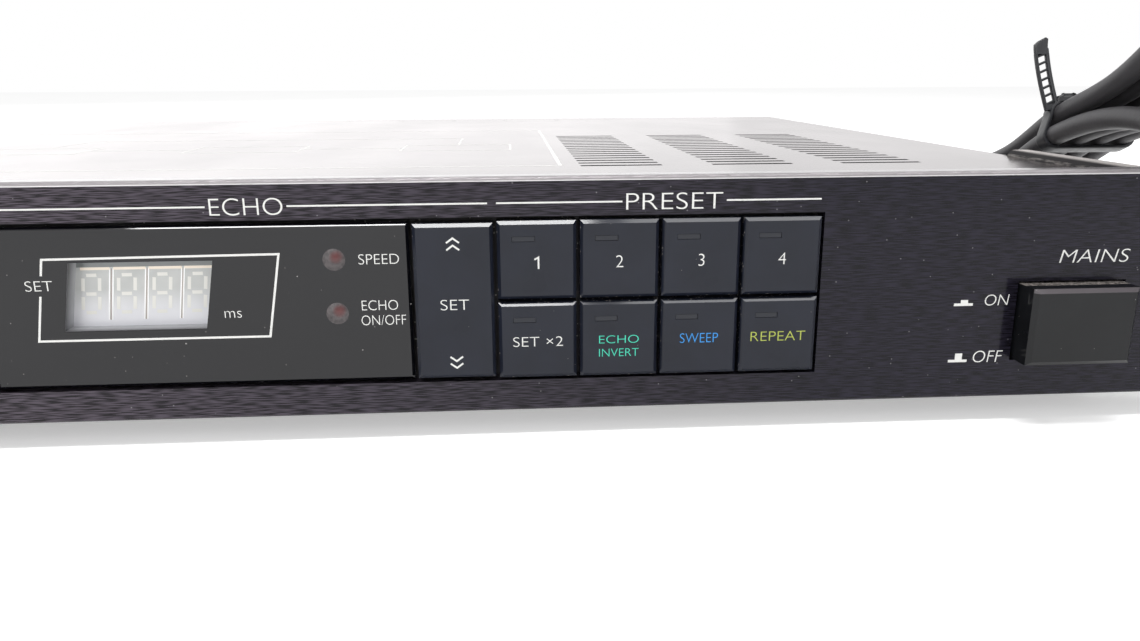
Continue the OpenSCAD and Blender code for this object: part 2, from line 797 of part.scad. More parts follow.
// Dark window flush with the panel, with two holes for the lamps
module display_window() {
    color([0.16, 0.16, 0.17]) difference() {
        plate(field_x + field_margin, field_x + window_cols * key_pitch - field_margin, 0, y_back,
            field_z - key_pitch + field_margin, field_z + key_pitch - field_margin);
        for (z = lamp_zs)
            rod_y(field_x + lamp_x, z, -past, y_back + past, lamp_r + lamp_gap);
    }
}

// Four-digit display block between the window and the front board
module display_module() {
    z = field_z + display_z;
    color([0.75, 0.74, 0.72])
        plate(field_x + display_x, field_x + display_x + display_w, y_back + slide_gap, y_board,
            z - display_h / 2, z + display_h / 2);
}

// Two round lamps that look out through the window
module indicator_lamps() {
    color([0.6, 0.25, 0.22]) for (z = lamp_zs) {
        translate([field_x + lamp_x, lamp_r - lamp_proud, z]) sphere(r = lamp_r);
        rod_y(field_x + lamp_x, z, lamp_r - lamp_proud, y_board, lamp_r);
    }
}

// Two-way rocker on two pins, with a post behind each end
module time_rocker() {
    color([0.24, 0.25, 0.28]) translate([rocker_x, 0, field_z]) {
        bevel_cap(cap_w, rocker_h, -key_proud, y_cap, key_bevel);
        plate(-hub_w / 2, hub_w / 2, y_cap - bury, rocker_y + hub_back, -hub_h / 2, hub_h / 2);
        rod_x(rocker_y, 0, -hub_w / 2 - ear_gap - ear_t + pin_short,
            hub_w / 2 + ear_gap + ear_t - pin_short, rocker_pin_r);
        for (z = [-rocker_post_z, rocker_post_z])
            plate(-rocker_post[0] / 2, rocker_post[0] / 2, y_cap - bury, y_stem,
                z - rocker_post[1] / 2, z + rocker_post[1] / 2);
    }
}

// Key with a small lamp window, guided by its stem, counted along its row
module key(column, row) {
    color([0.24, 0.25, 0.28]) translate([key_xs[column], 0, key_zs[row]]) difference() {
        union() {
            bevel_cap(cap_w, cap_w, -key_proud, y_cap, key_bevel);
            plate(-stem_w / 2, stem_w / 2, y_cap - bury, y_stem, -stem_w / 2, stem_w / 2);
        }
        translate([lamp_at[0], 0, lamp_at[1]])
            plate(-lamp_len / 2, lamp_len / 2, -key_proud - past, -key_proud + lamp_depth, -lamp_h / 2,
                lamp_h / 2);
    }
}

// Push switch under each key and under each end of the rocker
module key_switches() {
    places = concat([for (x = key_xs, z = key_zs) [x, z]],
        [for (z = [-rocker_post_z, rocker_post_z]) [rocker_x, field_z + z]]);
    color([0.1, 0.1, 0.1]) for (at = places) {
        plate(at[0] - switch_w / 2, at[0] + switch_w / 2, y_board - switch_d, y_board,
            at[1] - switch_w / 2, at[1] + switch_w / 2);
        rod_y(at[0], at[1], y_plunger, y_board - switch_d + bury, plunger_r);
    }
}

// Board behind the key field
module front_board() {
    color([0.12, 0.3, 0.18])
        plate(field_x - board_edge, field_end + board_edge, y_board, y_board + board_t,
            field_z - front_board_h / 2, field_z + front_board_h / 2);
}

// Latching power key and its round stem
module power_key() {
    color([0.2, 0.2, 0.21]) {
        translate([power_x, 0, power_z])
            bevel_cap(power_w, power_h, -power_proud, y_power_cap, power_bevel);
        rod_y(power_x, power_z, y_power_cap - bury, y_power_stem, power_stem_r);
    }
}

// Power switch on its foot, bored for the key's stem
module power_switch() {
    deep = y_power_stem + power_travel + stem_room;
    color([0.85, 0.84, 0.8]) difference() {
        union() {
            plate(power_x - power_switch[0] / 2, power_x + power_switch[0] / 2, y_switch,
                y_switch + power_switch[1], power_z - power_switch[2] / 2, power_z + power_switch[2] / 2);
            plate(power_x - power_foot_w / 2, power_x + power_foot_w / 2, y_switch,
                y_switch + power_switch[1],
                z_pan, power_z - power_switch[2] / 2 + bury);
        }
        rod_y(power_x, power_z, y_switch - past, deep, power_stem_r + power_stem_gap);
    }
}

// Knob with a pointer groove, bored for its shaft and hollowed over the nut
module knob(i) {
    color([0.14, 0.14, 0.15]) translate([knob_xs[i], y_knob, knob_z]) rotate([90, 0, 0]) difference() {
        rotate_extrude() polygon([[0, 0], [knob_r, 0], [knob_r, knob_len - knob_chamfer],
            [knob_r - knob_chamfer, knob_len], [0, knob_len]]);
        translate([0, 0, -past]) cylinder(h = knob_sink + past, r = knob_r - knob_wall);
        translate([0, 0, -past]) cylinder(h = knob_len - knob_face + knob_tip_gap + past,
            r = shaft_r + knob_bore_gap);
        plate(-pointer_w / 2, pointer_w / 2, pointer_in, knob_r + past, knob_len - pointer_d,
            knob_len + past);
    }
}

// Shaft of a control, from the knob into the control's body
module shaft(i) {
    color("silver") rod_y(knob_xs[i], knob_z, y_shaft_tip, y_sub + shaft_in, shaft_r);
}

// Bodies of the controls, each with a threaded bush through the panel
module control_bodies() {
    color([0.45, 0.42, 0.36]) for (x = knob_xs) difference() {
        union() {
            rod_y(x, knob_z, y_sub, y_sub + pot_d, pot_r);
            rod_y(x, knob_z, -bush_out, y_sub + bury, bush_r);
        }
        rod_y(x, knob_z, -bush_out - past, y_sub + shaft_in + knob_tip_gap, shaft_r + pin_gap);
    }
}

// Hexagonal nuts that clamp the controls to the panel
module control_nuts() {
    color("silver") for (x = knob_xs)
        translate([x, 0, knob_z]) rotate([90, 0, 0]) difference() {
            cylinder(h = nut_h, r = nut_r, $fn = 6);
            translate([0, 0, -past]) cylinder(h = nut_h + 2 * past, r = bush_r + pin_gap);
        }
}

// Row of level lamps beside the input knob
module meter_lamps() {
    color([0.7, 0.2, 0.15]) for (x = meter_xs) {
        translate([x, meter_r - lamp_proud, knob_z]) sphere(r = meter_r);
        rod_y(x, knob_z, meter_r - lamp_proud, y_sub + meter_leg, meter_r);
        rod_y(x, knob_z, y_sub, y_sub + meter_flange_t, meter_flange_r);
    }
}

// Places of the main board's screws, from its left front corner
board_screws_at = [for (x = [standoff_in, board_w / 2, board_w - standoff_in],
    y = [standoff_in, board_d - standoff_in]) [board_x + x, board_y + y]];

// Main circuit board
module main_board() {
    color([0.12, 0.32, 0.2]) difference() {
        plate(board_x, board_x + board_w, board_y, board_y + board_d, z_board, z_parts);
        for (at = board_screws_at)
            rod_z(at[0], at[1], z_board - past, z_parts + past, screw_r + screw_gap);
    }
}

// Standoffs that carry the main board on the pan
module board_standoffs() {
    color("gold") for (at = board_screws_at) difference() {
        rod_z(at[0], at[1], z_pan, z_board, standoff_r);
        rod_z(at[0], at[1], z_pan + standoff_floor, z_board + past, screw_r + pin_gap);
    }
}

// Screws that hold the main board to its standoffs
module board_screws() {
    color("silver") for (at = board_screws_at)
        translate([at[0], at[1], z_parts]) screw(standoff_h / 2);
}

// Integrated circuits in rows on the main board
module chips() {
    color([0.08, 0.08, 0.09]) for (i = [0:chip_cols - 1], j = [0:chip_rows - 1])
        translate([board_x + chip_at[0] + i * chip_step[0], board_y + chip_at[1] + j * chip_step[1],
            z_parts])
            cube(chip);
}

// Upright capacitors on the main board: place from its right front corner, radius and height
module capacitors() {
    color([0.1, 0.14, 0.3]) for (c = capacitors_at)
        rod_z(board_x + board_w - c[0], board_y + c[1], z_parts, z_parts + c[3], c[2]);
}

// Laminated core with two windows, on four posts
module transformer_core() {
    color("gray") translate([core_x, core_y, 0]) {
        difference() {
            plate(-core_w / 2, core_w / 2, -core_d / 2, core_d / 2, z_core, z_core + core_h);
            both_sides() plate(core_leg / 2, core_w / 2 - core_yoke, core_yoke - core_d / 2,
                core_d / 2 - core_yoke, z_core - past, z_core + core_h + past);
        }
        for (x = [-1, 1], y = [-1, 1])
            rod_z(x * (core_w / 2 - core_post_r - core_post_edge),
                y * (core_d / 2 - core_post_r - core_post_edge), z_pan, z_core + bury,
                core_post_r);
    }
}

// Winding round the core's middle leg
module transformer_coil() {
    wide = core_w / 2 - core_yoke - coil_gap;
    deep = core_d / 2 - core_yoke - coil_gap;
    leg = core_leg / 2 + coil_gap;
    color([0.75, 0.6, 0.25]) translate([core_x, core_y, 0]) difference() {
        plate(-wide, wide, -deep, deep, z_core - coil_gap - coil_over,
            z_core + core_h + coil_gap + coil_over);
        plate(-leg, leg, -deep - past, deep + past, z_core - coil_gap, z_core + core_h + coil_gap);
    }
}

// Finned heat sink standing on the pan
module heat_sink() {
    step = (sink[1] - sink_fin_t) / (sink_fins - 1);
    color([0.3, 0.3, 0.32]) translate([sink_at[0], sink_at[1], z_pan]) {
        cube([sink_base, sink[1], sink[2]]);
        for (i = [0:sink_fins - 1])
            translate([sink_base - bury, i * step, 0]) cube([sink[0] - sink_base, sink_fin_t, sink[2]]);
    }
}

// Two regulators against the heat sink's base
module regulators() {
    color([0.08, 0.08, 0.09]) for (y = [sink[1] / 4, 3 * sink[1] / 4])
        translate([sink_at[0] - regulator[0], sink_at[1] + y - regulator[1] / 2, z_pan + regulator_lift])
            cube(regulator);
}

// Rear jacks: body inside, threaded bush through the rear panel, bored for a plug
module jack_sockets() {
    color([0.1, 0.1, 0.1]) for (x = jack_xs) difference() {
        union() {
            plate(x - jack_body[0] / 2, x + jack_body[0] / 2, y_inside - jack_body[1], y_inside,
                jack_z - jack_body[2] / 2, jack_z + jack_body[2] / 2);
            rod_y(x, jack_z, y_inside - bury, y_plate + jack_out, jack_bush_r);
        }
        rod_y(x, jack_z, y_inside - jack_deep, y_plate + jack_out + past, jack_r);
    }
}

// Hexagonal nuts on the jacks' bushes
module jack_nuts() {
    color("silver") for (x = jack_xs)
        translate([x, y_plate, jack_z]) rotate([-90, 0, 0]) difference() {
            cylinder(h = jack_nut_h, r = jack_nut_r, $fn = 6);
            translate([0, 0, -past]) cylinder(h = jack_nut_h + 2 * past, r = jack_bush_r + pin_gap);
        }
}

// Rear slide switch: open housing behind the rear panel
module range_switch() {
    color([0.12, 0.12, 0.12]) difference() {
        plate(range_x - range_body[0] / 2, range_x + range_body[0] / 2, y_inside - range_body[1], y_inside,
            range_z - range_body[2] / 2, range_z + range_body[2] / 2);
        range_opening(y_inside - range_body[1] + range_wall, y_inside + past);
    }
}

// Lever of the rear slide switch, at its left end
module range_slider() {
    x = range_x - range_travel / 2;
    color([0.8, 0.8, 0.78])
        plate(x - range_lever[0] / 2, x + range_lever[0] / 2,
            y_inside - range_body[1] + range_wall + slide_gap,
            y_plate + range_out, range_z - range_lever[1] / 2, range_z + range_lever[1] / 2);
}

// Tapered strain relief moulded round the mains cord
module strain_relief() {
    color([0.07, 0.07, 0.07]) translate([gland_x, y_plate, gland_z]) rotate([-90, 0, 0]) rotate_extrude()
        polygon([[0, -sheet_t - relief_inside], [relief_neck_r, -sheet_t - relief_inside],
            [relief_neck_r, 0],
            [relief_flange_r, 0], [relief_flange_r, relief_flange_t], [relief_root_r, relief_flange_t],
            [relief_tip_r, relief_flange_t + relief_len], [0, relief_flange_t + relief_len]]);
}

// Free stretches of the cord and its tied hank
module mains_lead() {
    color([0.1, 0.1, 0.1]) tube(lead_route, cord_r, lead_sides, [0, 0, 1]);
}

module cord_hank() {
    color([0.1, 0.1, 0.1]) tube(hank_route, cord_r, hank_sides, [1, 0, 0]);
}

module plug_lead() {
    color([0.1, 0.1, 0.1]) tube(plug_route, cord_r, lead_sides, [1, 0, 0]);
}

// Moulded plug with two round pins
module plug() {
    body_y = plug_y + plug_boot_len;
    color([0.08, 0.08, 0.08]) translate([plug_x, 0, plug_z]) {
        translate([0, plug_y, 0]) rotate([-90, 0, 0])
            cylinder(h = plug_boot_len + bury, r1 = plug_boot_tip_r, r2 = plug_boot_r);
        bevel_cap(plug_body[0], plug_body[2], body_y, body_y + plug_body[1], plug_bevel);
        for (x = [-1, 1])
            rod_y(x * pin_spacing / 2, 0, body_y + plug_body[1] - bury,
                body_y + plug_body[1] + pin_len, pin_r);
    }
}

// Ladder tie round the hank's waist, with its tail standing up
module cable_tie() {
    inner_x = -cord_r - tie_gap;
    outer_x = (hank_turns - 1 + waist_climb) * hank_pitch + cord_r + tie_gap;
    top_z = tie_half + tie_t;
    tail_x = inner_x + tie_tail_in;
    head_x = tail_x + tie_tail[0] / 2 + tie_head_gap;
    color([0.06, 0.06, 0.06]) translate(hank_at_tie) rotate([-hank_lean, 0, 0]) difference() {
        union() {
            plate(inner_x - tie_t, outer_x + tie_t, -tie_w / 2, tie_w / 2, -top_z, top_z);
            plate(head_x, head_x + tie_head[0], -tie_head[1] / 2, tie_head[1] / 2, top_z - bury,
                top_z + tie_head[2]);
            translate([tail_x, 0, top_z - bury])
                plate(-tie_tail[0] / 2, tie_tail[0] / 2, -tie_tail[1] / 2, tie_tail[1] / 2, 0, tie_tail[2]);
        }
        plate(inner_x, outer_x, -tie_w, tie_w, -tie_half, tie_half);
        for (i = [0:tie_windows - 1])
            translate([tail_x, 0, top_z + tie_window_start + i * tie_window_step])
                plate(-tie_window[0] / 2, tie_window[0] / 2, -tie_tail[1], tie_tail[1],
                    -tie_window[1] / 2, tie_window[1] / 2);
    }
}

chassis_pan();
top_cover();
rear_panel();
front_panel();
subpanel();
left_bracket();
right_bracket();
bracket_screws();
cover_screws();
rubber_feet();
foot_screws();
display_window();
display_module();
indicator_lamps();
time_rocker();
key(0, 0);  // preset_key_1
key(1, 0);  // preset_key_2
key(2, 0);  // preset_key_3
key(3, 0);  // preset_key_4
key(0, 1);  // double_key
key(1, 1);  // invert_key
key(2, 1);  // sweep_key
key(3, 1);  // repeat_key
key_switches();
front_board();
power_key();
power_switch();
knob(0);  // input_knob
knob(1);  // rate_knob
knob(2);  // depth_knob
knob(3);  // feedback_knob
knob(4);  // output_knob
shaft(0);  // input_shaft
shaft(1);  // rate_shaft
shaft(2);  // depth_shaft
shaft(3);  // feedback_shaft
shaft(4);  // output_shaft
control_bodies();
control_nuts();
meter_lamps();
main_board();
board_standoffs();
board_screws();
chips();
capacitors();
transformer_core();
transformer_coil();
heat_sink();
regulators();
jack_sockets();
jack_nuts();
range_switch();
range_slider();
strain_relief();
mains_lead();
cord_hank();
plug_lead();
plug();
cable_tie();
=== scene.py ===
"""Rackmount delay unit: finishes, printed marks, display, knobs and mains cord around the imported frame."""

import bmesh
import bpy
import numpy as np
from mathutils import Matrix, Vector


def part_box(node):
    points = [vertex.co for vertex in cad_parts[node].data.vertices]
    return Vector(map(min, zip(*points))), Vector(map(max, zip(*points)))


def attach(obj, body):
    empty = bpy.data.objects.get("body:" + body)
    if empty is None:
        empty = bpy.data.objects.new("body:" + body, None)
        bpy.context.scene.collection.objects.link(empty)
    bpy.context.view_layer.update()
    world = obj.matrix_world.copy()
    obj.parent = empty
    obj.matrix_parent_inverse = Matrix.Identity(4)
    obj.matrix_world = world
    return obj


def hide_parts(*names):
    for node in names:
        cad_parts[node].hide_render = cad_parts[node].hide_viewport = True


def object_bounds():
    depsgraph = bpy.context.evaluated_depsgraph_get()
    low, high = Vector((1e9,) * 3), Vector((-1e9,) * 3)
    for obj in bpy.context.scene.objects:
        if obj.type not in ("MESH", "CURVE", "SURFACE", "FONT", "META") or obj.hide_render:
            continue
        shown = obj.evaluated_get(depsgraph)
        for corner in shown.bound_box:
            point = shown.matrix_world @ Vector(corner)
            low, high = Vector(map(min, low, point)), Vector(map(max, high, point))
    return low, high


bl_info = {
    "name": "Rackmount delay unit",
    "version": (1, 0, 0),
    "blender": (4, 5, 0),
    "location": "View3D > Sidebar > Delay unit",
    "description": "Finishes, printed marks, display, knobs and mains cord of a rackmount delay unit",
    "category": "Object",
}

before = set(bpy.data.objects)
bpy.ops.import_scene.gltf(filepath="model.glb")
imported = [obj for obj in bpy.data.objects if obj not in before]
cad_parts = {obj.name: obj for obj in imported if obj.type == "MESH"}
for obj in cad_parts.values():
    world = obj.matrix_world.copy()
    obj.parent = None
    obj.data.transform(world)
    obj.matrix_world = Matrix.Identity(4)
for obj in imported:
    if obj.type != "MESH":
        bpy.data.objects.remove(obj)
CAD_BOX = [list(corner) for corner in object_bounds()]
MM = 0.001
CASE = "case"
# How far printed ink reaches into the face that it lies on, so that no gap shows
SINK = 0.01
CONTROLS = {"input": -187, "rate": -117, "depth": -87, "feedback": -57, "output": -27}
KNOB_Z = -1
KNOB_TURN = 150


def linear(hex_colour):
    """sRGB hex to linear: c / 12.92 for dark values, else ((c + 0.055) / 1.055) to the power 2.4."""
    srgb = np.array([int(hex_colour[i:i + 2], 16) for i in (1, 3, 5)]) / 255
    rgb = np.where(srgb <= 0.04045, srgb / 12.92, ((srgb + 0.055) / 1.055) ** 2.4)
    return (*rgb.tolist(), 1.0)


def tone(value):
    """Linear colour from a hex value; a colour or a node is handed on."""
    return linear(value) if isinstance(value, str) else value


def lighter(name, gain):
    """One of the colours with its light times gain."""
    return (*(gain * part for part in colours(name)[:3]), 1.0)


def box(node):
    """Lowest and highest corner of a node, in millimetres."""
    low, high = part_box(node)
    return np.array(low) / MM, np.array(high) / MM


# Surfaces

def unit(vectors):
    """Vectors divided by their lengths."""
    return vectors / np.linalg.norm(vectors, axis=-1, keepdims=True)


def grid(points, close_u=False, close_v=False):
    """Quads over a (u, v, 3) array of points; a closed direction joins its last row to its first."""
    rows, columns = points.shape[:2]
    u, v = np.meshgrid(np.arange(rows - (not close_u)), np.arange(columns - (not close_v)), indexing="ij")
    u2, v2 = (u + 1) % rows, (v + 1) % columns
    quads = np.stack([u * columns + v, u2 * columns + v, u2 * columns + v2, u * columns + v2], -1)
    return points.reshape(-1, 3), quads.reshape(-1, 4)


def capped(rings, first, last):
    """Quads over closed rings, with both ends drawn together to a point."""
    first, last = (np.broadcast_to(point, rings[:1].shape) for point in (first, last))
    return grid(np.concatenate([first, rings, last]), close_v=True)


def join(patches):
    """Several patches as one, their faces counted on."""
    starts = np.cumsum([0] + [len(points) for points, _ in patches[:-1]])
    points = np.concatenate([points for points, _ in patches])
    return points, np.concatenate([faces + start for (_, faces), start in zip(patches, starts)])


def circle(radius, steps):
    """Points of a circle: radius times cosine and sine of equal angles."""
    turn = np.linspace(0, 2 * np.pi, steps, endpoint=False)
    return radius * np.stack([np.cos(turn), np.sin(turn)], -1)


def squircle(half_x, half_y, power, steps):
    """Rounded rectangle: signed powers 2 / power of cosine and sine, times the half sizes."""
    ways = circle(1, steps)
    return np.sign(ways) * abs(ways) ** (2 / power) * (half_x, half_y)


def sweep(path, section, side):
    """Section carried along a path: each ring lies square to the heading, its first axis towards side.

    The section is one outline or one for each point; both ends close to a point."""
    heading = unit(np.gradient(path, axis=0))
    side = np.asarray(side, float)
    across = unit(side - (heading @ side)[:, None] * heading)
    over = np.cross(heading, across)
    section = np.broadcast_to(section, (len(path),) + np.shape(section)[-2:])
    rings = path[:, None] + section[..., :1] * across[:, None] + section[..., 1:] * over[:, None]
    return capped(rings, path[0], path[-1])


def turned(profile, x, z, steps=64, flutes=0, flute_depth=0.0, fluted=None):
    """Profile of (y, radius) turned about a line along Y; fluted rows lose depth times a raised cosine."""
    profile = np.asarray(profile, float)
    turn = np.linspace(0, 2 * np.pi, steps, endpoint=False)
    radius = np.repeat(profile[:, 1:], steps, 1)
    if flutes:
        groove = flute_depth * (0.5 + 0.5 * np.cos(flutes * turn)) ** 2
        radius = radius - np.asarray(fluted, float)[:, None] * groove
    y = np.repeat(profile[:, :1], steps, 1)
    return grid(np.stack([x + radius * np.cos(turn), y, z + radius * np.sin(turn)], -1), close_v=True)


def block(low, high, bevel):
    """Box between two corners with its edges cut: a chamfered rectangle carried up, drawn in at both ends."""
    low, high = np.asarray(low, float), np.asarray(high, float)
    signs = np.array([(1, 1), (-1, 1), (-1, -1), (1, -1)])[:, None]
    cuts = np.array([[(1, 0), (0, 1)], [(0, 1), (1, 0)]] * 2)
    outline = (signs * ((high - low)[:2] / 2 - bevel * cuts)).reshape(-1, 2)
    inner = outline - bevel * np.sign(outline)
    path = np.tile((low + high) / 2, (4, 1))
    path[:, 2] = low[2], low[2] + bevel, high[2] - bevel, high[2]
    return sweep(path, np.array([inner, outline, outline, inner]), (1, 0, 0))


def upright(flat, y):
    """(x, z) points put on a plane across Y."""
    return np.column_stack([flat[:, 0], np.full(len(flat), y), flat[:, 1]])


def strip(corners, y):
    """Flat print: four (x, z) corners on a plane across Y, given the ink's thickness towards the front."""
    corners = np.asarray(corners, float)
    points = np.concatenate([upright(corners, y - sizes("film")), upright(corners, y)])
    faces = [(0, 1, 2, 3), (7, 6, 5, 4), (0, 4, 5, 1), (1, 5, 6, 2), (2, 6, 7, 3), (3, 7, 4, 0)]
    return points, np.array(faces)


def bar(start, end, width, y=SINK):
    """Printed line of a width between two (x, z) points."""
    start, end = np.asarray(start, float), np.asarray(end, float)
    along = unit(end - start)
    across = np.array([-along[1], along[0]]) * width / 2
    return strip([start - across, end - across, end + across, start + across], y)


def printed_route(route, width, y=SINK, closed=False):
    """Printed line of a width along (x, z) points: each point is moved to both sides along its mitre.

    A mitre halves the angle between two stretches; its length is half the width over its share square
    to a stretch."""
    route = np.asarray(route, float)
    ahead = unit(np.roll(route, -1, 0) - route)
    behind = np.roll(ahead, 1, 0)
    if not closed:
        behind[0], ahead[-1] = ahead[0], behind[-1]
    across, before = (np.column_stack([-way[:, 1], way[:, 0]]) for way in (ahead, behind))
    mitre = unit(across + before)
    mitre = mitre * width / 2 / (mitre * across).sum(1, keepdims=True)
    one, other, front = route - mitre, route + mitre, y - sizes("film")
    rings = np.stack([upright(one, front), upright(other, front), upright(other, y), upright(one, y)], 1)
    return grid(rings, True, True) if closed else capped(rings, rings[0].mean(0), rings[-1].mean(0))


def frame_ring(outer, inner, profile):
    """Picture-frame surface: each profile row (share, inset, y) is a rectangle between outer and inner.

    Share 0 starts from the outer rectangle and 1 from the inner one; inset draws it in by that much."""
    rings = []
    for share, inset, y in profile:
        x0, x1, z0, z1 = np.array(inner if share else outer) + inset * np.array([1, -1, 1, -1])
        rings.append([(x0, y, z0), (x1, y, z0), (x1, y, z1), (x0, y, z1)])
    return grid(np.array(rings, float), close_u=True, close_v=True)


def smooth_route(points, steps):
    """Catmull-Rom curve: each stretch is the cubic set by its two ends and their neighbours."""
    points = np.asarray(points, float)
    padded = np.concatenate([2 * points[:1] - points[1:2], points, 2 * points[-1:] - points[-2:-1]])
    p0, p1, p2, p3 = (padded[k:len(padded) - 3 + k, None] for k in range(4))
    t = np.linspace(0, 1, steps, endpoint=False)[:, None]
    curve = p1 + 0.5 * ((p2 - p0) * t + (2 * p0 - 5 * p1 + 4 * p2 - p3) * t ** 2
                        + (3 * p1 - p0 - 3 * p2 + p3) * t ** 3)
    return np.concatenate([curve.reshape(-1, 3), points[-1:]])


def link_new(name, data):
    """New object with its data, in the scene."""
    made = bpy.data.objects.new(name, data)
    bpy.context.scene.collection.objects.link(made)
    return made


def piece(name, patch, material, body, stands_for=(), sharp_deg=35):
    """Closed mesh object from a patch in millimetres, riding on a body, with its material."""
    points, faces = patch
    mesh = bpy.data.meshes.new(name)
    mesh.from_pydata((points * MM).tolist(), [], faces.tolist())
    shape = bmesh.new()
    shape.from_mesh(mesh)
    bmesh.ops.remove_doubles(shape, verts=shape.verts, dist=1e-7)
    bmesh.ops.recalc_face_normals(shape, faces=shape.faces)
    shape.to_mesh(mesh)
    shape.free()
    mesh.shade_smooth()
    mesh.set_sharp_from_angle(angle=np.radians(sharp_deg))
    mesh.materials.append(material)
    made = link_new(name, mesh)
    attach(made, body)
    if stands_for:
        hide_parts(*stands_for)
    return made


# Height of a capital over the font's size, and how much the font's strokes are thinned
CAP_SHARE = 0.69
STROKE_THIN = -0.016


def lettering(text, cap, x0, x1, z, y=SINK, slant=0.0):
    """Printed characters: the font's flat shapes scaled to a cap height and sheared.

    They are fitted between two ends, or keep their own width round the middle where both ends are one."""
    curve = bpy.data.curves.new("characters", "FONT")
    curve.body = text
    curve.offset = STROKE_THIN
    curve.extrude = 0.5
    holder = link_new("characters", curve)
    bpy.context.view_layer.update()
    solid = holder.evaluated_get(bpy.context.evaluated_depsgraph_get())
    mesh = solid.to_mesh()
    mesh.calc_loop_triangles()
    points = np.array([vertex.co for vertex in mesh.vertices])
    faces = np.array([triangle.vertices for triangle in mesh.loop_triangles])
    solid.to_mesh_clear()
    bpy.data.objects.remove(holder)
    scale = cap / CAP_SHARE
    own = np.ptp(points[:, 0])
    share = (points[:, 0] - points[:, 0].min()) / own - 0.5
    up = points[:, 1] * scale - cap / 2
    across = (x0 + x1) / 2 + share * ((x1 - x0) or own * scale) + slant * up
    depth = y - sizes("film") * (0.5 + points[:, 2])
    return np.column_stack([across, depth, z + up]), faces


# Finishes

# Where a lens shows its core, from 0 to 1, kept on the mesh
CORE_LAYER = "core"


def add(tree, kind, inputs=None, **settings):
    """Adds a shader node with its settings; an input takes a value, a socket or a node's live output."""
    node = tree.nodes.new("ShaderNode" + kind)
    for name, value in settings.items():
        setattr(node, name, value)
    for name, value in (inputs or {}).items():
        if isinstance(value, bpy.types.Node):
            value = next(socket for socket in value.outputs if socket.enabled)
        if isinstance(value, bpy.types.NodeSocket):
            tree.links.new(value, node.inputs[name])
        else:
            node.inputs[name].default_value = value
    return node


def blank(name):
    """Empty material: itself and the socket of the object coordinates, which also leads to its tree."""
    material = bpy.data.materials.new(name)
    material.use_nodes = True
    tree = material.node_tree
    tree.nodes.clear()
    return material, add(tree, "TexCoord").outputs["Object"]


def complete(material, colour, rough, height=None, depth_mm=0.0, **gloss):
    """Closes a material with its shader, over a bump of a depth in millimetres, and gives it back.

    Roughness is a value, or a field with the roughness at 0 and at 1. A gloss name stands for the input
    that is spelt with spaces."""
    tree = material.node_tree
    if isinstance(rough, tuple):
        field, low, high = rough
        rough = add(tree, "MapRange", {0: field, 3: low, 4: high})
    inputs = {name.replace("_", " "): value for name, value in gloss.items()}
    inputs.update({"Base Color": tone(colour), "Roughness": rough})
    if height is not None:
        inputs["Normal"] = add(tree, "Bump", {"Height": height, "Distance": depth_mm * MM})
    add(tree, "OutputMaterial", {"Surface": add(tree, "BsdfPrincipled", inputs)})
    return material


def layered(place, colour, *layers):
    """Colour in layers: each gives its masks, multiplied into one, and what lies over the rest there."""
    tree = place.id_data
    for mask, *others, over in layers:
        for other in others:
            mask = add(tree, "Math", {0: mask, 1: other}, operation="MULTIPLY")
        colour = add(tree, "Mix", {0: mask, 6: tone(colour), 7: tone(over)}, data_type="RGBA")
    return colour


def ramp(place, axis, start_mm, stop_mm, low=0.0, high=1.0):
    """Field that goes evenly from low to high between two places along an axis."""
    tree = place.id_data
    along = add(tree, "SeparateXYZ", {"Vector": place}).outputs[axis]
    return add(tree, "MapRange", {0: along, 1: start_mm * MM, 2: stop_mm * MM, 3: low, 4: high})


def grain(place, size_mm, stretch=(1, 1, 1), detail=2.0, start=0.3, stop=0.7):
    """Soft random field from 0 to 1 whose lumps measure size_mm, times stretch along each axis."""
    tree = place.id_data
    scale = tuple(1 / (size_mm * MM * s) for s in stretch)
    seat = add(tree, "Mapping", {"Vector": place, "Scale": scale})
    field = add(tree, "TexNoise", {"Vector": seat, "Scale": 1.0, "Detail": detail})
    return add(tree, "MapRange", {0: field, 1: start, 2: stop})


def specks(place, cell_mm, size, share):
    """Dust: the middles of a share of random cells, each a dot of a size counted in cells."""
    tree = place.id_data
    cells = add(tree, "TexVoronoi", {"Vector": place, "Scale": 1 / (cell_mm * MM)})
    near = add(tree, "Math", {0: cells.outputs["Distance"], 1: size}, operation="LESS_THAN")
    drawn = add(tree, "SeparateColor", {"Color": cells.outputs["Color"]})
    kept = add(tree, "Math", {0: drawn, 1: share}, operation="LESS_THAN")
    return add(tree, "Math", {0: near, 1: kept}, operation="MULTIPLY")


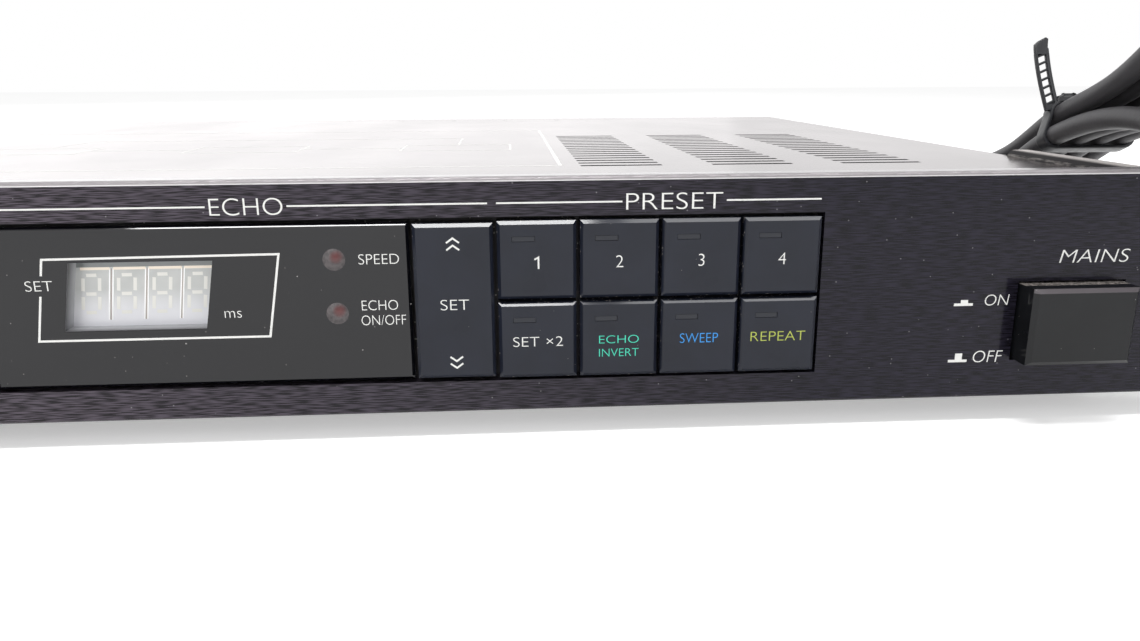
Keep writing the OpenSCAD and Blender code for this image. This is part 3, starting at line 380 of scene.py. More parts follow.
def brushed_anodised_aluminium():
    """Aluminium brushed along its length and dyed black: fine long streaks, a violet cast and dust.

    A painted sheen makes the dye a little lighter towards the middle and the left, and a painted highlight
    makes the top edge and the top face pale.
    The clear oxide over the dye makes its rounded edges shine pale where they are seen along."""
    material, place = blank("brushed_anodised_aluminium")
    # brush lines are drawn coarser than the real tenth of a millimetre, so that they show,
    # and softer left of the window, where they are only seen from further off
    lines = grain(place, 0.21, (15, 1, 1), detail=0.0, start=0.36, stop=0.64)
    near = ramp(place, "X", -80, -5, low=0.3)
    streak = add(place.id_data, "Mix", {0: near, 2: 0.5, 3: lines})
    dye = layered(place, lighter("panel", 0.5), (streak, lighter("panel", 1.8)))
    # painted sheen: a paler tone of the dye, laid over it towards the middle and the left
    sheen_and_wear = layered(place, "#1b171b", (streak, "#59515a"))
    # painted highlight: a near-white band low on the top edge's rounding, mid grey above it and over the top
    # face
    painted_edge_highlight = layered(place, "#e6e4e5", (ramp(place, "Z", 21.2, 21.38), "#8c888a"))
    # the painted sheen fades out towards the right, then dust, then the painted highlight along the top edge
    dye = layered(place, dye, (ramp(place, "X", -40, 150, low=0.85, high=0.0), sheen_and_wear),
                  (specks(place, 1.5, 0.085, 0.3), 0.45, "#8d8b8e"),
                  (ramp(place, "Z", 21.1, 21.22), painted_edge_highlight))
    return complete(material, dye, (streak, 0.26, 0.4), streak, 0.02, Metallic=0.3, Specular_IOR_Level=0.05,
                    Coat_Weight=1.0, Coat_IOR=1.24, Coat_Roughness=0.12)


def satin_black_paint():
    """Stoved satin paint on steel: near black from above, a pale sheen seen along it, faint orange peel."""
    material, place = blank("satin_black_paint")
    smear = grain(place, 40, (1, 2.2, 1), detail=4.0)
    coat = layered(place, lighter("paint", 0.9), (smear, lighter("paint", 1.5)),
                   (specks(place, 1.9, 0.1, 0.3), "#8f8a87"))
    return complete(material, coat, (smear, 0.16, 0.26), grain(place, 0.9), 0.003,
                    Coat_Weight=0.86, Coat_Roughness=0.2, Coat_Tint=tone("#fbf5f6"))


def dusty_black_paint():
    """The brackets' and sub-panel's thinner paint: dull, rubbed, dusty, and worn pale along the top edge.

    Lint lies where the brackets' inner faces meet the cover."""
    material, place = blank("dusty_black_paint")
    tree = material.node_tree
    rub = grain(place, 3, (1, 4, 1), detail=4.0)
    height = add(tree, "SeparateXYZ", {"Vector": place}).outputs["Z"]
    foot = add(tree, "Math", {0: height, 1: 19.75 * MM, 2: 0.35 * MM}, operation="COMPARE")
    coat = layered(place, lighter("paint", 0.7), (rub, lighter("paint", 1.9)),
                   (specks(place, 0.9, 0.2, 0.3), "#8f8c88"),
                   (ramp(place, "Z", 20.85, 21.15), "#b5b0ae"),
                   (foot, grain(place, 0.5, (1, 7, 1), detail=3.0, start=0.4, stop=0.8), "#a5a09c"))
    return complete(material, coat, (rub, 0.42, 0.6), rub, 0.01, Specular_IOR_Level=0.3)


def smoked_acrylic():
    """Polished dark acrylic: a clean mirror-like front with fine dust on it."""
    material, place = blank("smoked_acrylic")
    film = grain(place, 18, detail=3.0)
    smoke = layered(place, lighter("window", 0.7), (film, colours("window")),
                    (specks(place, 1.5, 0.08, 0.2), "#5e5c5a"),
                    (specks(place, 5.2, 0.035, 0.5), "#8a8886"))
    return complete(material, smoke, (film, 0.05, 0.12), IOR=1.49, Specular_IOR_Level=0.42)


def satin_key_abs(name, base, dust_y, edge=None):
    """Moulded ABS: satin, hardly any texture, its edges catching light, with crumbs of dust behind dust_y.

    A cap that stands out has a painted highlight on its upper front edge and dust on its top: edge gives the
    y that the painted highlight lies in front of, the z that it lies above, and the z above which dust lies."""
    material, place = blank(name)
    cloud = grain(place, 9)
    behind = ramp(place, "Y", dust_y - 0.2, dust_y)
    plastic = layered(place, lighter(base, 0.85), (cloud, lighter(base, 1.15)),
                      (specks(place, 1.3, 0.06, 0.12), "#6f6d6b"),
                      (specks(place, 0.6, 0.3, 0.22), behind, "#a19c97"))
    if edge:
        front, highlight_z, top = edge
        # painted highlight: the upper front bevel is painted paler
        plastic = layered(place, plastic, (ramp(place, "Y", front, front - 0.08),
                                          ramp(place, "Z", highlight_z, highlight_z + 0.08), "#575356"),
                          (ramp(place, "Z", top, top + 0.001), behind,
                           grain(place, 0.45, detail=3.0, start=0.35), "#9d9691"))
    return complete(material, plastic, (cloud, 0.26, 0.36), grain(place, 0.22), 0.003,
                    Specular_IOR_Level=0.02, Coat_Weight=0.45, Coat_Roughness=0.09)


def key_window_acrylic():
    """Small dark lamp window let into a key: glossy and almost the key's own colour."""
    material, place = blank("key_window_acrylic")
    return complete(material, "#191c25", (grain(place, 1.2), 0.12, 0.24), Specular_IOR_Level=0.36)


def fine_knob_abs():
    """Black ABS with a spark-eroded texture, a little shiny where fingers turn it."""
    material, place = blank("fine_knob_abs")
    sheen_and_wear = grain(place, 6)
    plastic = layered(place, "#141416", (sheen_and_wear, "#202022"))
    return complete(material, plastic, (sheen_and_wear, 0.38, 0.55), grain(place, 0.3), 0.02)


def screen_ink(name, ink):
    """Screen-printed ink: flat, even, with the faintest mesh texture."""
    material, place = blank(name)
    mesh = grain(place, 0.25)
    return complete(material, colours(ink), (mesh, 0.5, 0.62), mesh, 0.004)


def zinc_plated_steel():
    """Bright zinc plate on steel: pale metal with a faint yellow and blue bloom."""
    material, place = blank("zinc_plated_steel")
    bloom = grain(place, 3.5, detail=3.0)
    plate = layered(place, "#aeb0b3", (bloom, "#c4bfae"))
    return complete(material, plate, (bloom, 0.26, 0.4), Metallic=1.0)


def display_silver():
    """Silvered face of an unlit display behind clear acrylic: grey above, a little cloudy, and paler low
    down, where a reflection is painted in.
    """
    material, place = blank("display_silver")
    # painted reflection: the face turns paler towards the bottom
    silver = layered(place, "#b3b5b3", (grain(place, 4), "#bfc0be"),
                     (ramp(place, "Z", 2.5, -3.5), "#e3e3e8"))
    return complete(material, silver, 0.3, Coat_Weight=0.6)


def display_lining():
    """Grey walls between the window's front and the display: dim in front, paler behind."""
    material, place = blank("display_lining")
    wall = layered(place, "#4d4d50", (ramp(place, "Y", 0.3, 3.2), "#b4b5b8"))
    return complete(material, wall, (grain(place, 1.5), 0.4, 0.5))


def display_tone(name, base):
    """Parts of the display's printed mask under the same clear front."""
    material, place = blank(name)
    return complete(material, base, (grain(place, 1.5), 0.3, 0.42), Coat_Weight=0.6)


def lamp_lens():
    """Unlit tinted lamp: a dull grey lens with a clouded skin, the red of its core showing to one side."""
    material, place = blank("lamp_lens")
    tree = material.node_tree
    core = add(tree, "Attribute", attribute_name=CORE_LAYER).outputs["Fac"]
    lens = layered(place, "#353132", (grain(place, 0.9, detail=3.0, start=0.35, stop=0.65), "#524c4d"),
                   (core, "#583030"))
    return complete(material, lens, 0.2, Specular_IOR_Level=0.4)


def moulded_rubber():
    """Black rubber: matt, slightly chalky."""
    material, place = blank("moulded_rubber")
    chalk = grain(place, 2.5, detail=4.0)
    return complete(material, layered(place, "#19191a", (chalk, "#2b2a2a")), 0.75, chalk, 0.03)


def cord_sheath_pvc():
    """Extruded PVC sheath: dark grey, satin, with soft long highlights and a dusty bloom."""
    material, place = blank("cord_sheath_pvc")
    bloom = grain(place, 14, detail=3.0)
    sheath = layered(place, colours("sheath"), (bloom, lighter("sheath", 2.2)))
    return complete(material, sheath, (bloom, 0.4, 0.56), grain(place, 0.7), 0.015)


def moulded_pvc():
    """Moulded PVC of the plug and strain relief: the sheath's colour, a finer matt texture."""
    material, place = blank("moulded_pvc")
    texture = grain(place, 0.4)
    return complete(material, "#1f1f20", (texture, 0.44, 0.58), texture, 0.02)


def tie_polyamide():
    """Moulded black polyamide: smooth, with a soft wax-like shine."""
    material, place = blank("tie_polyamide")
    return complete(material, "#1d1e22", (grain(place, 1.2, (1, 1, 4)), 0.3, 0.44))


def nickel_plate():
    """Nickel-plated brass of the plug's pins: warm bright metal with fine turning marks."""
    material, place = blank("nickel_plate")
    return complete(material, "#c6bfae", (grain(place, 0.25, (8, 1, 8)), 0.14, 0.28), Metallic=1.0)


def plain_finish(name, low, high, roughness, metallic, grain_mm):
    """Inner pieces: two close tones in a grain of a size, with a light bump."""
    material, place = blank(name)
    field = grain(place, grain_mm, detail=3.0)
    return complete(material, layered(place, low, (field, high)), roughness, field, 0.01, Metallic=metallic)


def finish(material, *nodes):
    """Gives CAD nodes a material."""
    for node in nodes:
        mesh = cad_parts[node].data
        mesh.materials.clear()
        mesh.materials.append(material)


# Sizes and colours that a user would change

def size(name, description, millimetres):
    """Length property with a default in millimetres."""
    return bpy.props.FloatProperty(name=name, description=description, default=millimetres * MM, min=0.0,
                                   unit="LENGTH", subtype="DISTANCE")


def colour(name, description, hex_colour):
    """Colour property with an sRGB hex default."""
    return bpy.props.FloatVectorProperty(name=name, description=description, default=linear(hex_colour),
                                         size=4, min=0.0, max=1.0, subtype="COLOR")


class DelayUnitSizes(bpy.types.PropertyGroup):
    """Sizes of the pieces that are added to the frame"""

    cord_d: size("Cord diameter", "Outer diameter of the mains cord's sheath", 4.8)
    film: size("Print thickness", "Thickness of the screen-printed ink", 0.03)
    line_w: size("Line width", "Width of the printed lines on the panel", 0.3)
    header_cap: size("Heading height", "Height of the capitals over the two sections", 3.1)
    legend_cap: size("Legend height", "Height of the capitals beside lamps and on keys", 1.9)
    number_cap: size("Number height", "Height of the numbers on the preset keys", 2.3)
    dial_cap: size("Dial number height", "Height of the numbers round the knobs", 1.9)
    window_bevel: size("Window bevel", "Polished bevel on the window's front edges", 0.5)
    lens_rise: size("Lens rise", "How far the indicator lenses stand out of the window", 0.4)
    flute_depth: size("Flute depth", "Depth of the grip flutes on the knobs", 0.55)


class DelayUnitColours(bpy.types.PropertyGroup):
    """Colours of the finishes"""

    panel: colour("Panel dye", "Black dye of the anodised panel", "#16141d")
    paint: colour("Case paint", "Satin paint of the cover and the brackets", "#232123")
    key: colour("Key caps", "Moulded caps of the keys", "#191c26")
    power: colour("Power key", "Moulded cap of the power key", "#121315")
    window: colour("Window", "Smoked acrylic of the display window", "#0a0a0f")
    ink: colour("Ink", "White of the panel's printing", "#d9d9d6")
    ink_invert: colour("Invert ink", "Ink on the invert key", "#3cc8aa")
    ink_sweep: colour("Sweep ink", "Ink on the sweep key", "#2d8cd7")
    ink_repeat: colour("Repeat ink", "Ink on the repeat key", "#a5af4b")
    sheath: colour("Cord sheath", "PVC sheath of the mains cord", "#343335")


def sizes(name):
    """One of the sizes, in millimetres."""
    return getattr(bpy.context.scene.delay_unit_sizes, name) / MM


def colours(name):
    """One of the colours, linear."""
    return tuple(getattr(bpy.context.scene.delay_unit_colours, name))


# Camera, surroundings, lamps and floor

# Place in millimetres; yaw, pitch and roll in degrees; lens and sensor width in millimetres
CAMERA_AT = (90.7, -163.7, 39.5)
CAMERA_TURN = (3.909, 15.04, 0.264)
CAMERA_LENS = 29.02
CAMERA_SENSOR = 36.0
CAMERA_NEAREST = 0.005
WORLD_LEVEL = 0.6
FLOOR_GLOW = 0.4
FLOOR_HALF = 4000
# Place, aim, width and depth in millimetres, watts and spread in degrees
LAMPS = {
    "upper_strip_lamp": ((-85, -160, 1000), (-85, 40, 0), 560, 70, 5, 180),
    "lower_strip_lamp": ((40, -252, 1000), (40, 40, 0), 280, 60, 2, 180),
    "key_lamp": ((720, -215, 1000), (720, 40, 0), 960, 160, 5, 180),
    "front_lamp": ((-300, -1200, 700), (60, 0, 0), 900, 700, 3.4, 180),
    "rear_lamp": ((-650, 2300, 500), (500, 150, 20), 3600, 1200, 1.9, 105),
    "left_lamp": ((-800, -1000, 60), (0, 0, 0), 900, 600, 3, 180),
}


def set_out(name, data, right, up, back, at):
    """New object whose own axes point right, up and back, at a place in millimetres."""
    made = link_new(name, data)
    matrix = np.eye(4)
    matrix[:3] = np.column_stack([right, up, back, np.array(at) * MM])
    made.matrix_world = Matrix(matrix.tolist())
    return made


def set_camera():
    """Camera whose forward axis comes from yaw and pitch; its right and down axes are turned by roll."""
    yaw, pitch, roll = np.radians(CAMERA_TURN)
    forward = np.array([np.sin(yaw) * np.cos(pitch), np.cos(yaw) * np.cos(pitch), -np.sin(pitch)])
    level = np.array([np.cos(yaw), -np.sin(yaw), 0])
    dip = np.cross(forward, level)
    right = np.cos(roll) * level + np.sin(roll) * dip
    down = np.cos(roll) * dip - np.sin(roll) * level
    data = bpy.data.cameras.new("camera")
    data.sensor_fit = "HORIZONTAL"
    data.sensor_width = CAMERA_SENSOR
    data.lens = CAMERA_LENS
    data.clip_start = CAMERA_NEAREST
    bpy.context.scene.camera = set_out("camera", data, right, -down, -forward, CAMERA_AT)


def seen_rays(tree):
    """1 for the rays that show the surroundings: camera, glossy and transmission rays."""
    rays = add(tree, "LightPath").outputs
    seen = rays["Is Camera Ray"]
    for other in ("Is Glossy Ray", "Is Transmission Ray"):
        seen = add(tree, "Math", {0: seen, 1: rays[other]}, operation="MAXIMUM")
    return seen


def set_surroundings():
    """White for what the camera, gloss and glass see, a plain level of light for the rest."""
    scene = bpy.context.scene
    scene.view_settings.view_transform = "Standard"
    world = bpy.data.worlds.new("white_studio")
    scene.world = world
    world.use_nodes = True
    tree = world.node_tree
    tree.nodes.clear()
    level = add(tree, "MapRange", {0: seen_rays(tree), 3: WORLD_LEVEL, 4: 1.0})
    back = add(tree, "Background", {"Color": linear("#ffffff"), "Strength": level})
    add(tree, "OutputWorld", {"Surface": back})


def set_lamp(name, at, aim, width, depth, watts, spread_deg):
    """Rectangular soft lamp at a place, aimed at another; a spread under 180 fades it off its axis."""
    data = bpy.data.lights.new(name, "AREA")
    data.shape = "RECTANGLE"
    data.size = width * MM
    data.size_y = depth * MM
    data.energy = watts
    data.spread = np.radians(spread_deg)
    back = unit(np.array(at, float) - np.array(aim, float))
    side = unit(np.cross((0, 0, 1), back))
    set_out(name, data, side, np.cross(back, side), back, at)


def studio_floor():
    """Matt pale board that the unit stands on: white to the eye, with the unit's soft shadow on it."""
    material, place = blank("studio_floor")
    tree = material.node_tree
    glow = add(tree, "MapRange", {0: seen_rays(tree), 3: 0.0, 4: FLOOR_GLOW})
    mottle = layered(place, "#f2f2f2", (grain(place, 60), "#f7f7f7"))
    return complete(material, mottle, 0.9, Specular_IOR_Level=0.0, Emission_Color=tone("#ffffff"),
                    Emission_Strength=glow)


def set_floor():
    """Flat square board under the feet."""
    half, z = FLOOR_HALF * MM, CAD_BOX[0][2]
    corners = [(-half, -half, z), (half, -half, z), (half, half, z), (-half, half, z)]
    mesh = bpy.data.meshes.new("floor")
    mesh.from_pydata(corners, [], [(0, 1, 2, 3)])
    mesh.materials.append(studio_floor())
    link_new("floor", mesh)


class DELAY_UNIT_OT_stage(bpy.types.Operator):
    """Camera at the photograph's angle, white surroundings, soft lamps and a pale floor"""

    bl_idname = "delay_unit.stage"
    bl_label = "Stage"

    def execute(self, context):
        set_camera()
        set_surroundings()
        for name, lamp in LAMPS.items():
            set_lamp(name, *lamp)
        set_floor()
        return {"FINISHED"}


# Mains cord, tie, plug and strain relief

# Middle of the hank's left loop at the tie, and the tilt of the hank's front and rear halves
TIE_AT = np.array([221, 52, 26.8])
FRONT_TILT, REAR_TILT = np.radians((15, 30))
# Reach of the runs to the front and the rear, the way over which the tilt changes, and the power of the
# sine that draws the runs together
HANK_FRONT = 60
HANK_REAR = 68
HANK_BEND = 8
HANK_DRAW = 4
# Radius of the folds, half the height at the tie, and the step to the right with each turn
FOLD_R = 14.4
WAIST = 2.7
HANK_PITCH = 5.4
HANK_TURNS = 4
CORD_STEP = 2.5
LEAD_POINTS = [
    (196, 292, -6), (196, 302, -6.5), (198.7, 312, -9), (206, 319.3, -12.5), (216, 322, -16.5),
    (226, 319.3, -20), (233.3, 312, -22.8), (236, 302, -24.2), (236, 291, -24.5), (235, 279, -24.5),
    (232.5, 267, -24.5), (229.5, 255, -24.5), (226.8, 243, -24.5), (224.2, 231, -24.5), (222, 219, -24.5),
    (220.5, 207, -24.5), (219.6, 195, -24.5), (219.4, 183, -24.5), (219.6, 171, -24.5), (220.1, 159, -24.5),
    (220.6, 147, -24.5), (220.9, 138, -24.5), (221, 131, -24.5), (221, 124, -24.4), (221, 117.5, -23.8),
    (221, 112.6, -22.8)]
PLUG_POINTS = [
    (242.6, 129, 0.3), (242.6, 137, -3.8), (242.6, 147, -8.4), (242.8, 157, -12.4), (243.4, 167, -15.9),
    (244.3, 177, -18.7), (245.5, 187, -20.9), (246.9, 197, -22.5), (248.3, 207, -23.4), (249.8, 217, -23.7),
    (251.2, 227, -23.2), (252.5, 237, -21.9), (253.4, 245, -20.8), (254, 252, -20.25), (254, 258, -20.25)]
PLUG_X = 254
PLUG_Z = -20.25
# Plug from its boot to its face: y, half width, half height and the power of the rounded rectangle
PLUG_ROWS = np.array([
    (258, 3.2, 3.2, 2), (258.6, 3.5, 3.5, 2), (263, 3.9, 3.9, 2), (269, 5.0, 5.0, 2), (273, 6.0, 5.9, 2.1),
    (276, 8.2, 6.3, 2.5), (279, 10.8, 6.6, 3.2), (282, 12.4, 6.75, 4), (286, 13, 6.75, 5), (297, 13, 6.75, 5),
    (300.4, 12.7, 6.5, 5), (301.6, 12.0, 5.8, 5), (302, 11.2, 5.0, 5)])
# Pins and their sleeves: near and far end, radius and length of the rounded tip
PINS = (301.5, 321, 2, 2.2)
SLEEVES = (301.6, 311, 2.03, 0.2)
PIN_HALF_PITCH = 9.5
# Strain relief: its line, y and radius at the ends of its taper, its ribs, and (y, radius) of flange and tip
RELIEF_X, RELIEF_Z = 196, -6
TAPER_Y, TAPER_R = (273.2, 291), (5.7, 3.2)
RIB_COUNT, RIB_DEPTH = 8, 0.42
FLANGE_ROWS = [(270.9, 0), (270.9, 7.2), (271.2, 7.5), (272.6, 7.5), (273, 7.1)]
TIP_ROWS = [(291.7, 3.0), (292, 2.7), (292, 0)]
# Middles of the outer runs at the tie, upper right, upper left, lower left and lower right, and the radius
# of the strap's way round them
WAIST_RUNS = np.array([(18.65, 2.7), (2.45, 2.7), (0, -2.7), (16.2, -2.7)])
STRAP_R = 2.9
STRAP_HALF, STRAP_THICK = 1.8, 0.45
# Tail of the tie: heights of its foot and top, half its width and thickness, lengths of its tip and foot,
# its bow to the left with the sine's angle at the top, and y at its foot and top
TAIL_FOOT, TAIL_TOP = 3.8, 21.3
TAIL_HALF, TAIL_THICK = 1.75, 0.55
TIP_LENGTH, FOOT_LENGTH = 4, 1.3
TAIL_BOW, TAIL_BOW_END = 1.5, 1.9
TAIL_Y = (-0.9, -1.5)
# Rails: place and half width, end under the top; rungs: count, pitch, first one over the foot, left end,
# width and rise, half their height and thickness
RAILS = ((-1.45, 0.3), (1.3, 0.45))
RAIL_END = 3.8
RUNG_COUNT, RUNG_PITCH, RUNG_FIRST = 7, 1.95, 1.2
RUNG_LEFT, RUNG_W, RUNG_RISE = -1.4, 2.7, 1.1
RUNG_HALF, RUNG_THICK = 0.5, 0.26
# Head of the tie and its lip: two corners and the bevel
HEAD_BLOCKS = [((1.6, -2.4, 4.9), (7.1, 2.4, 7.3), 0.6), ((2.5, -1.6, 7.0), (6.3, 1.6, 7.9), 0.35)]


def tie_place(points):
    """Points in the tie's own frame, x right, y back along the hank and z up across it, put in place."""
    lean = (FRONT_TILT + REAR_TILT) / 2
    turn = np.array([[1, 0, 0], [0, np.cos(lean), -np.sin(lean)], [0, np.sin(lean), np.cos(lean)]])
    return TIE_AT + points @ turn


def hank_point(along, up, right):
    """Points of the hank: along it towards its front, up across it and to the right, from the tie.

    Its slope goes from one tilt to the other with along over the root of along squared plus bend squared."""
    along, up, right = np.broadcast_arrays(np.asarray(along, float), up, right)
    level, climb = (np.array([way(REAR_TILT), way(FRONT_TILT)]) for way in (np.cos, np.sin))
    root = np.hypot(along, HANK_BEND)
    share = (1 + along / root) / 2
    ahead = along + root - HANK_BEND
    behind = along - root + HANK_BEND
    forth = (behind * level[0] + ahead * level[1]) / 2
    rise = (behind * climb[0] + ahead * climb[1]) / 2
    y = up * (climb[0] * (1 - share) + climb[1] * share) - forth
    return TIE_AT + np.stack([right, y, rise + up * (level[0] * (1 - share) + level[1] * share)], -1)


def hank_route(count):
    """Loops one after another: rear fold, lower run, front fold, and upper run with its climb to the next.

    A fold is a half circle. A run's distance from the middle is the waist plus a sine's fourth power."""
    s = np.linspace(0.25, HANK_TURNS, count)
    loop = np.floor(s)
    quarter = np.minimum((4 * (s - loop)).astype(int), 3)
    p = 4 * (s - loop) - quarter
    run = HANK_FRONT + HANK_REAR
    bow, rise = FOLD_R * np.sin(np.pi * p), FOLD_R * np.cos(np.pi * p)
    along = np.choose(quarter, [-HANK_REAR - bow, -HANK_REAR + run * p,
                                HANK_FRONT + bow, HANK_FRONT - run * p])
    reach = np.where(along > 0, HANK_FRONT, HANK_REAR)
    half = WAIST + (FOLD_R - WAIST) * np.sin(np.pi / 2 * abs(along) / reach) ** HANK_DRAW
    up = np.choose(quarter, [rise, -half, -rise, half])
    right = HANK_PITCH * (loop + (quarter == 3) * p * p * (3 - 2 * p))
    return hank_point(along, up, right)


def even(points, step):
    """The same route with points an equal way apart, read off its running length."""
    way = np.concatenate([[0], np.cumsum(np.linalg.norm(np.diff(points, axis=0), axis=1))])
    marks = np.linspace(0, way[-1], int(round(way[-1] / step)) + 1)
    return np.stack([np.interp(marks, way, row) for row in points.T], -1)


def cord_route():
    """Lead from the strain relief to the hank, the hank, and the lead to the plug, as one even route."""
    rear = [-HANK_REAR - sizes("cord_d")]
    into = hank_point(rear, -FOLD_R, 0)
    out = hank_point(rear, FOLD_R, HANK_TURNS * HANK_PITCH)
    lead = smooth_route(np.concatenate([LEAD_POINTS, into]), 24)
    tail = smooth_route(np.concatenate([out, PLUG_POINTS]), 24)
    return even(np.concatenate([lead, hank_route(4000), tail]), CORD_STEP)


def relief_profile():
    """Flange, then a taper whose radius carries ribs as a cosine, then the tip."""
    share = np.linspace(0, 1, 97)
    groove = RIB_DEPTH * (0.5 - 0.5 * np.cos(2 * np.pi * RIB_COUNT * share))
    y, radius = (np.interp(share, (0, 1), ends) for ends in (TAPER_Y, TAPER_R))
    return np.concatenate([FLANGE_ROWS, np.column_stack([y, radius - groove]), TIP_ROWS])


def plug_patch():
    """Moulded plug: rounded rectangles carried along Y, from the round boot to the flat body."""
    path = PLUG_ROWS[:, :1] * (0, 1, 0) + (PLUG_X, 0, PLUG_Z)
    return sweep(path, np.array([squircle(*row[1:], 48) for row in PLUG_ROWS]), (1, 0, 0))


def pins_patch(low, high, radius, tip):
    """Two round pins side by side, each a turned profile with a rounded tip."""
    profile = [(low, 0), (low, radius), (high - tip, radius), (high - 0.4 * tip, 0.85 * radius),
               (high - 0.1 * tip, 0.5 * radius), (high, 0)]
    return join([turned(profile, PLUG_X + side * PIN_HALF_PITCH, PLUG_Z, 24) for side in (-1, 1)])


def tie_band():
    """Strap drawn tight round the hank's waist: a flat section carried round the outline of the runs.

    The outline is a slanted rectangle through the outer runs' middles, moved out by the strap's radius."""
    quarter = np.linspace(0, 0.5 * np.pi, 13)
    fans = [np.column_stack([np.cos(turn), np.sin(turn)])
            for turn in (quarter + k * np.pi / 2 for k in range(4))]
    ring = even(np.concatenate([corner + STRAP_R * fan for corner, fan in zip(WAIST_RUNS, fans)]
                               + [WAIST_RUNS[:1] + (STRAP_R, 0)]), 0.5)[:-1]
    step = np.roll(ring, -1, 0) - np.roll(ring, 1, 0)
    out = unit(np.column_stack([step[:, 1], -step[:, 0]]))
    section = squircle(STRAP_HALF, STRAP_THICK, 5, 16)
    flat = ring[:, None] + section[None, :, 1:] * out[:, None]
    y = np.broadcast_to(section[:, 0], flat.shape[:2])
    return grid(tie_place(np.stack([flat[..., 0], y, flat[..., 1]], -1)), True, True)


def tail_at(x, height):
    """Places on the tail's middle surface: going up, it bows left as part of a sine and leans forward."""
    x, height = np.broadcast_arrays(np.asarray(x, float), np.asarray(height, float))
    share = (height - TAIL_FOOT) / (TAIL_TOP - TAIL_FOOT)
    bow = TAIL_BOW * np.sin(TAIL_BOW_END * share)
    return tie_place(np.stack([x - bow, TAIL_Y[0] + (TAIL_Y[1] - TAIL_Y[0]) * share, height], -1))


def tie_tail():
    """Ladder: two rails carried up the tail, slanted rungs between them, a foot and a tip cut aslant."""
    side = (1, 0, 0)
    rise = np.linspace(TAIL_FOOT, TAIL_TOP - RAIL_END, 25)
    rails = [sweep(tail_at(x, rise), squircle(half, TAIL_THICK, 4, 12), side) for x, half in RAILS]
    steps = np.linspace(0, 1, 5)
    rung = squircle(RUNG_HALF, RUNG_THICK, 4, 12)
    rungs = [sweep(tail_at(RUNG_LEFT + RUNG_W * steps, low + RUNG_RISE * steps), rung, (0, 1, 0))
             for low in TAIL_FOOT + RUNG_FIRST + RUNG_PITCH * np.arange(RUNG_COUNT)]
    share = np.linspace(0, 1, 9)
    left = np.interp(share, (0, 0.5, 1), (-TAIL_HALF, -TAIL_HALF, 0.9))
    tip = sweep(tail_at((left + TAIL_HALF) / 2, TAIL_TOP - TIP_LENGTH * (1 - share)),
                np.array([squircle((TAIL_HALF - x) / 2, TAIL_THICK, 5, 20) for x in left]), side)
    foot = sweep(tail_at(0, np.linspace(TAIL_FOOT, TAIL_FOOT + FOOT_LENGTH, 6)),
                 squircle(TAIL_HALF, TAIL_THICK, 5, 20), side)
    return join(rails + rungs + [tip, foot])


def tie_head():
    """Head of the tie: a low bevelled block with a raised lip, beside the tail's foot."""
    points, faces = join([block(*row) for row in HEAD_BLOCKS])
    return tie_place(points), faces


class DELAY_UNIT_OT_cord(bpy.types.Operator):
    """Mains cord in its tied hank, with the tie, the plug and the strain relief"""

    bl_idname = "delay_unit.cord"
    bl_label = "Mains cord"

    def execute(self, context):
        moulded = moulded_pvc()
        nylon = tie_polyamide()
        route = cord_route()
        diameter = sizes("cord_d")
        cord = piece("mains_cord", sweep(route, circle(diameter / 2, 16), (1, 0, 0)), cord_sheath_pvc(), CASE,
                     ("mains_lead", "cord_hank", "plug_lead"), sharp_deg=60)
        plug = piece("moulded_plug", plug_patch(), moulded, CASE, ("plug",), sharp_deg=50)
        pins = piece("plug_pins", pins_patch(*PINS), nickel_plate(), CASE)
        sleeves = piece("pin_sleeves", pins_patch(*SLEEVES), moulded, CASE)
        band = piece("tie_band", tie_band(), nylon, CASE, ("cable_tie",))
        head = piece("tie_head", tie_head(), nylon, CASE)
        tail = piece("tie_tail", tie_tail(), nylon, CASE, sharp_deg=50)
        piece("ribbed_relief", turned(relief_profile(), RELIEF_X, RELIEF_Z), moulded, CASE,
              ("strain_relief",), sharp_deg=60)
        return {"FINISHED"}


# Case: cover, brackets, pan, rear panel, feet and screws

# Printing on the cover, x to the right and y to the rear: frame, row of boxes, line from box to box
COVER_FRAME = (-196, 103, 46, 180)
COVER_FRAME_W, COVER_LINE_W = 0.9, 0.6
COVER_BOX_XS = (-170, -112, -54, 4, 62)
COVER_BOX_W, COVER_BOX_Y0, COVER_BOX_Y1 = 30, 92, 112
COVER_LOOP = [(-39, 112.3), (-39, 140), (77, 140), (77, 112.3)]
JACK_XS = 137 - 23 * np.arange(6)
JACK_NUMBER_CAP, JACK_NUMBER_Y = 4.2, 258


def on_cover(patch):
    """Print for the front plane laid on the cover: its height becomes depth, its film stands up."""
    points, faces = patch
    top = box("top_cover")[1][2]
    return np.column_stack([points[:, 0], points[:, 2], top - points[:, 1]]), faces


def outline_box(x0, x1, z0, z1, width):
    """Printed line round a rectangle."""
    return printed_route([(x0, z0), (x1, z0), (x1, z1), (x0, z1)], width, closed=True)


def cover_print():
    """Printed frame on the cover, with a plain row of boxes joined by lines in it."""
    lines = [outline_box(*COVER_FRAME, COVER_FRAME_W)]
    between, half = (COVER_BOX_Y0 + COVER_BOX_Y1) / 2, COVER_LINE_W / 2
    for x in COVER_BOX_XS:
        lines.append(outline_box(x, x + COVER_BOX_W, COVER_BOX_Y0, COVER_BOX_Y1, COVER_LINE_W))
    for x, after in zip(COVER_BOX_XS, COVER_BOX_XS[1:]):
        lines.append(bar((x + COVER_BOX_W + half, between), (after - half, between), COVER_LINE_W))
    lines.append(printed_route(COVER_LOOP, COVER_LINE_W))
    return on_cover(join(lines))


def cover_numbers():
    """Numbers over the jacks along the cover's rear edge."""
    return on_cover(join([lettering(str(k), JACK_NUMBER_CAP, x, x, JACK_NUMBER_Y)
                          for k, x in enumerate(JACK_XS, 1)]))


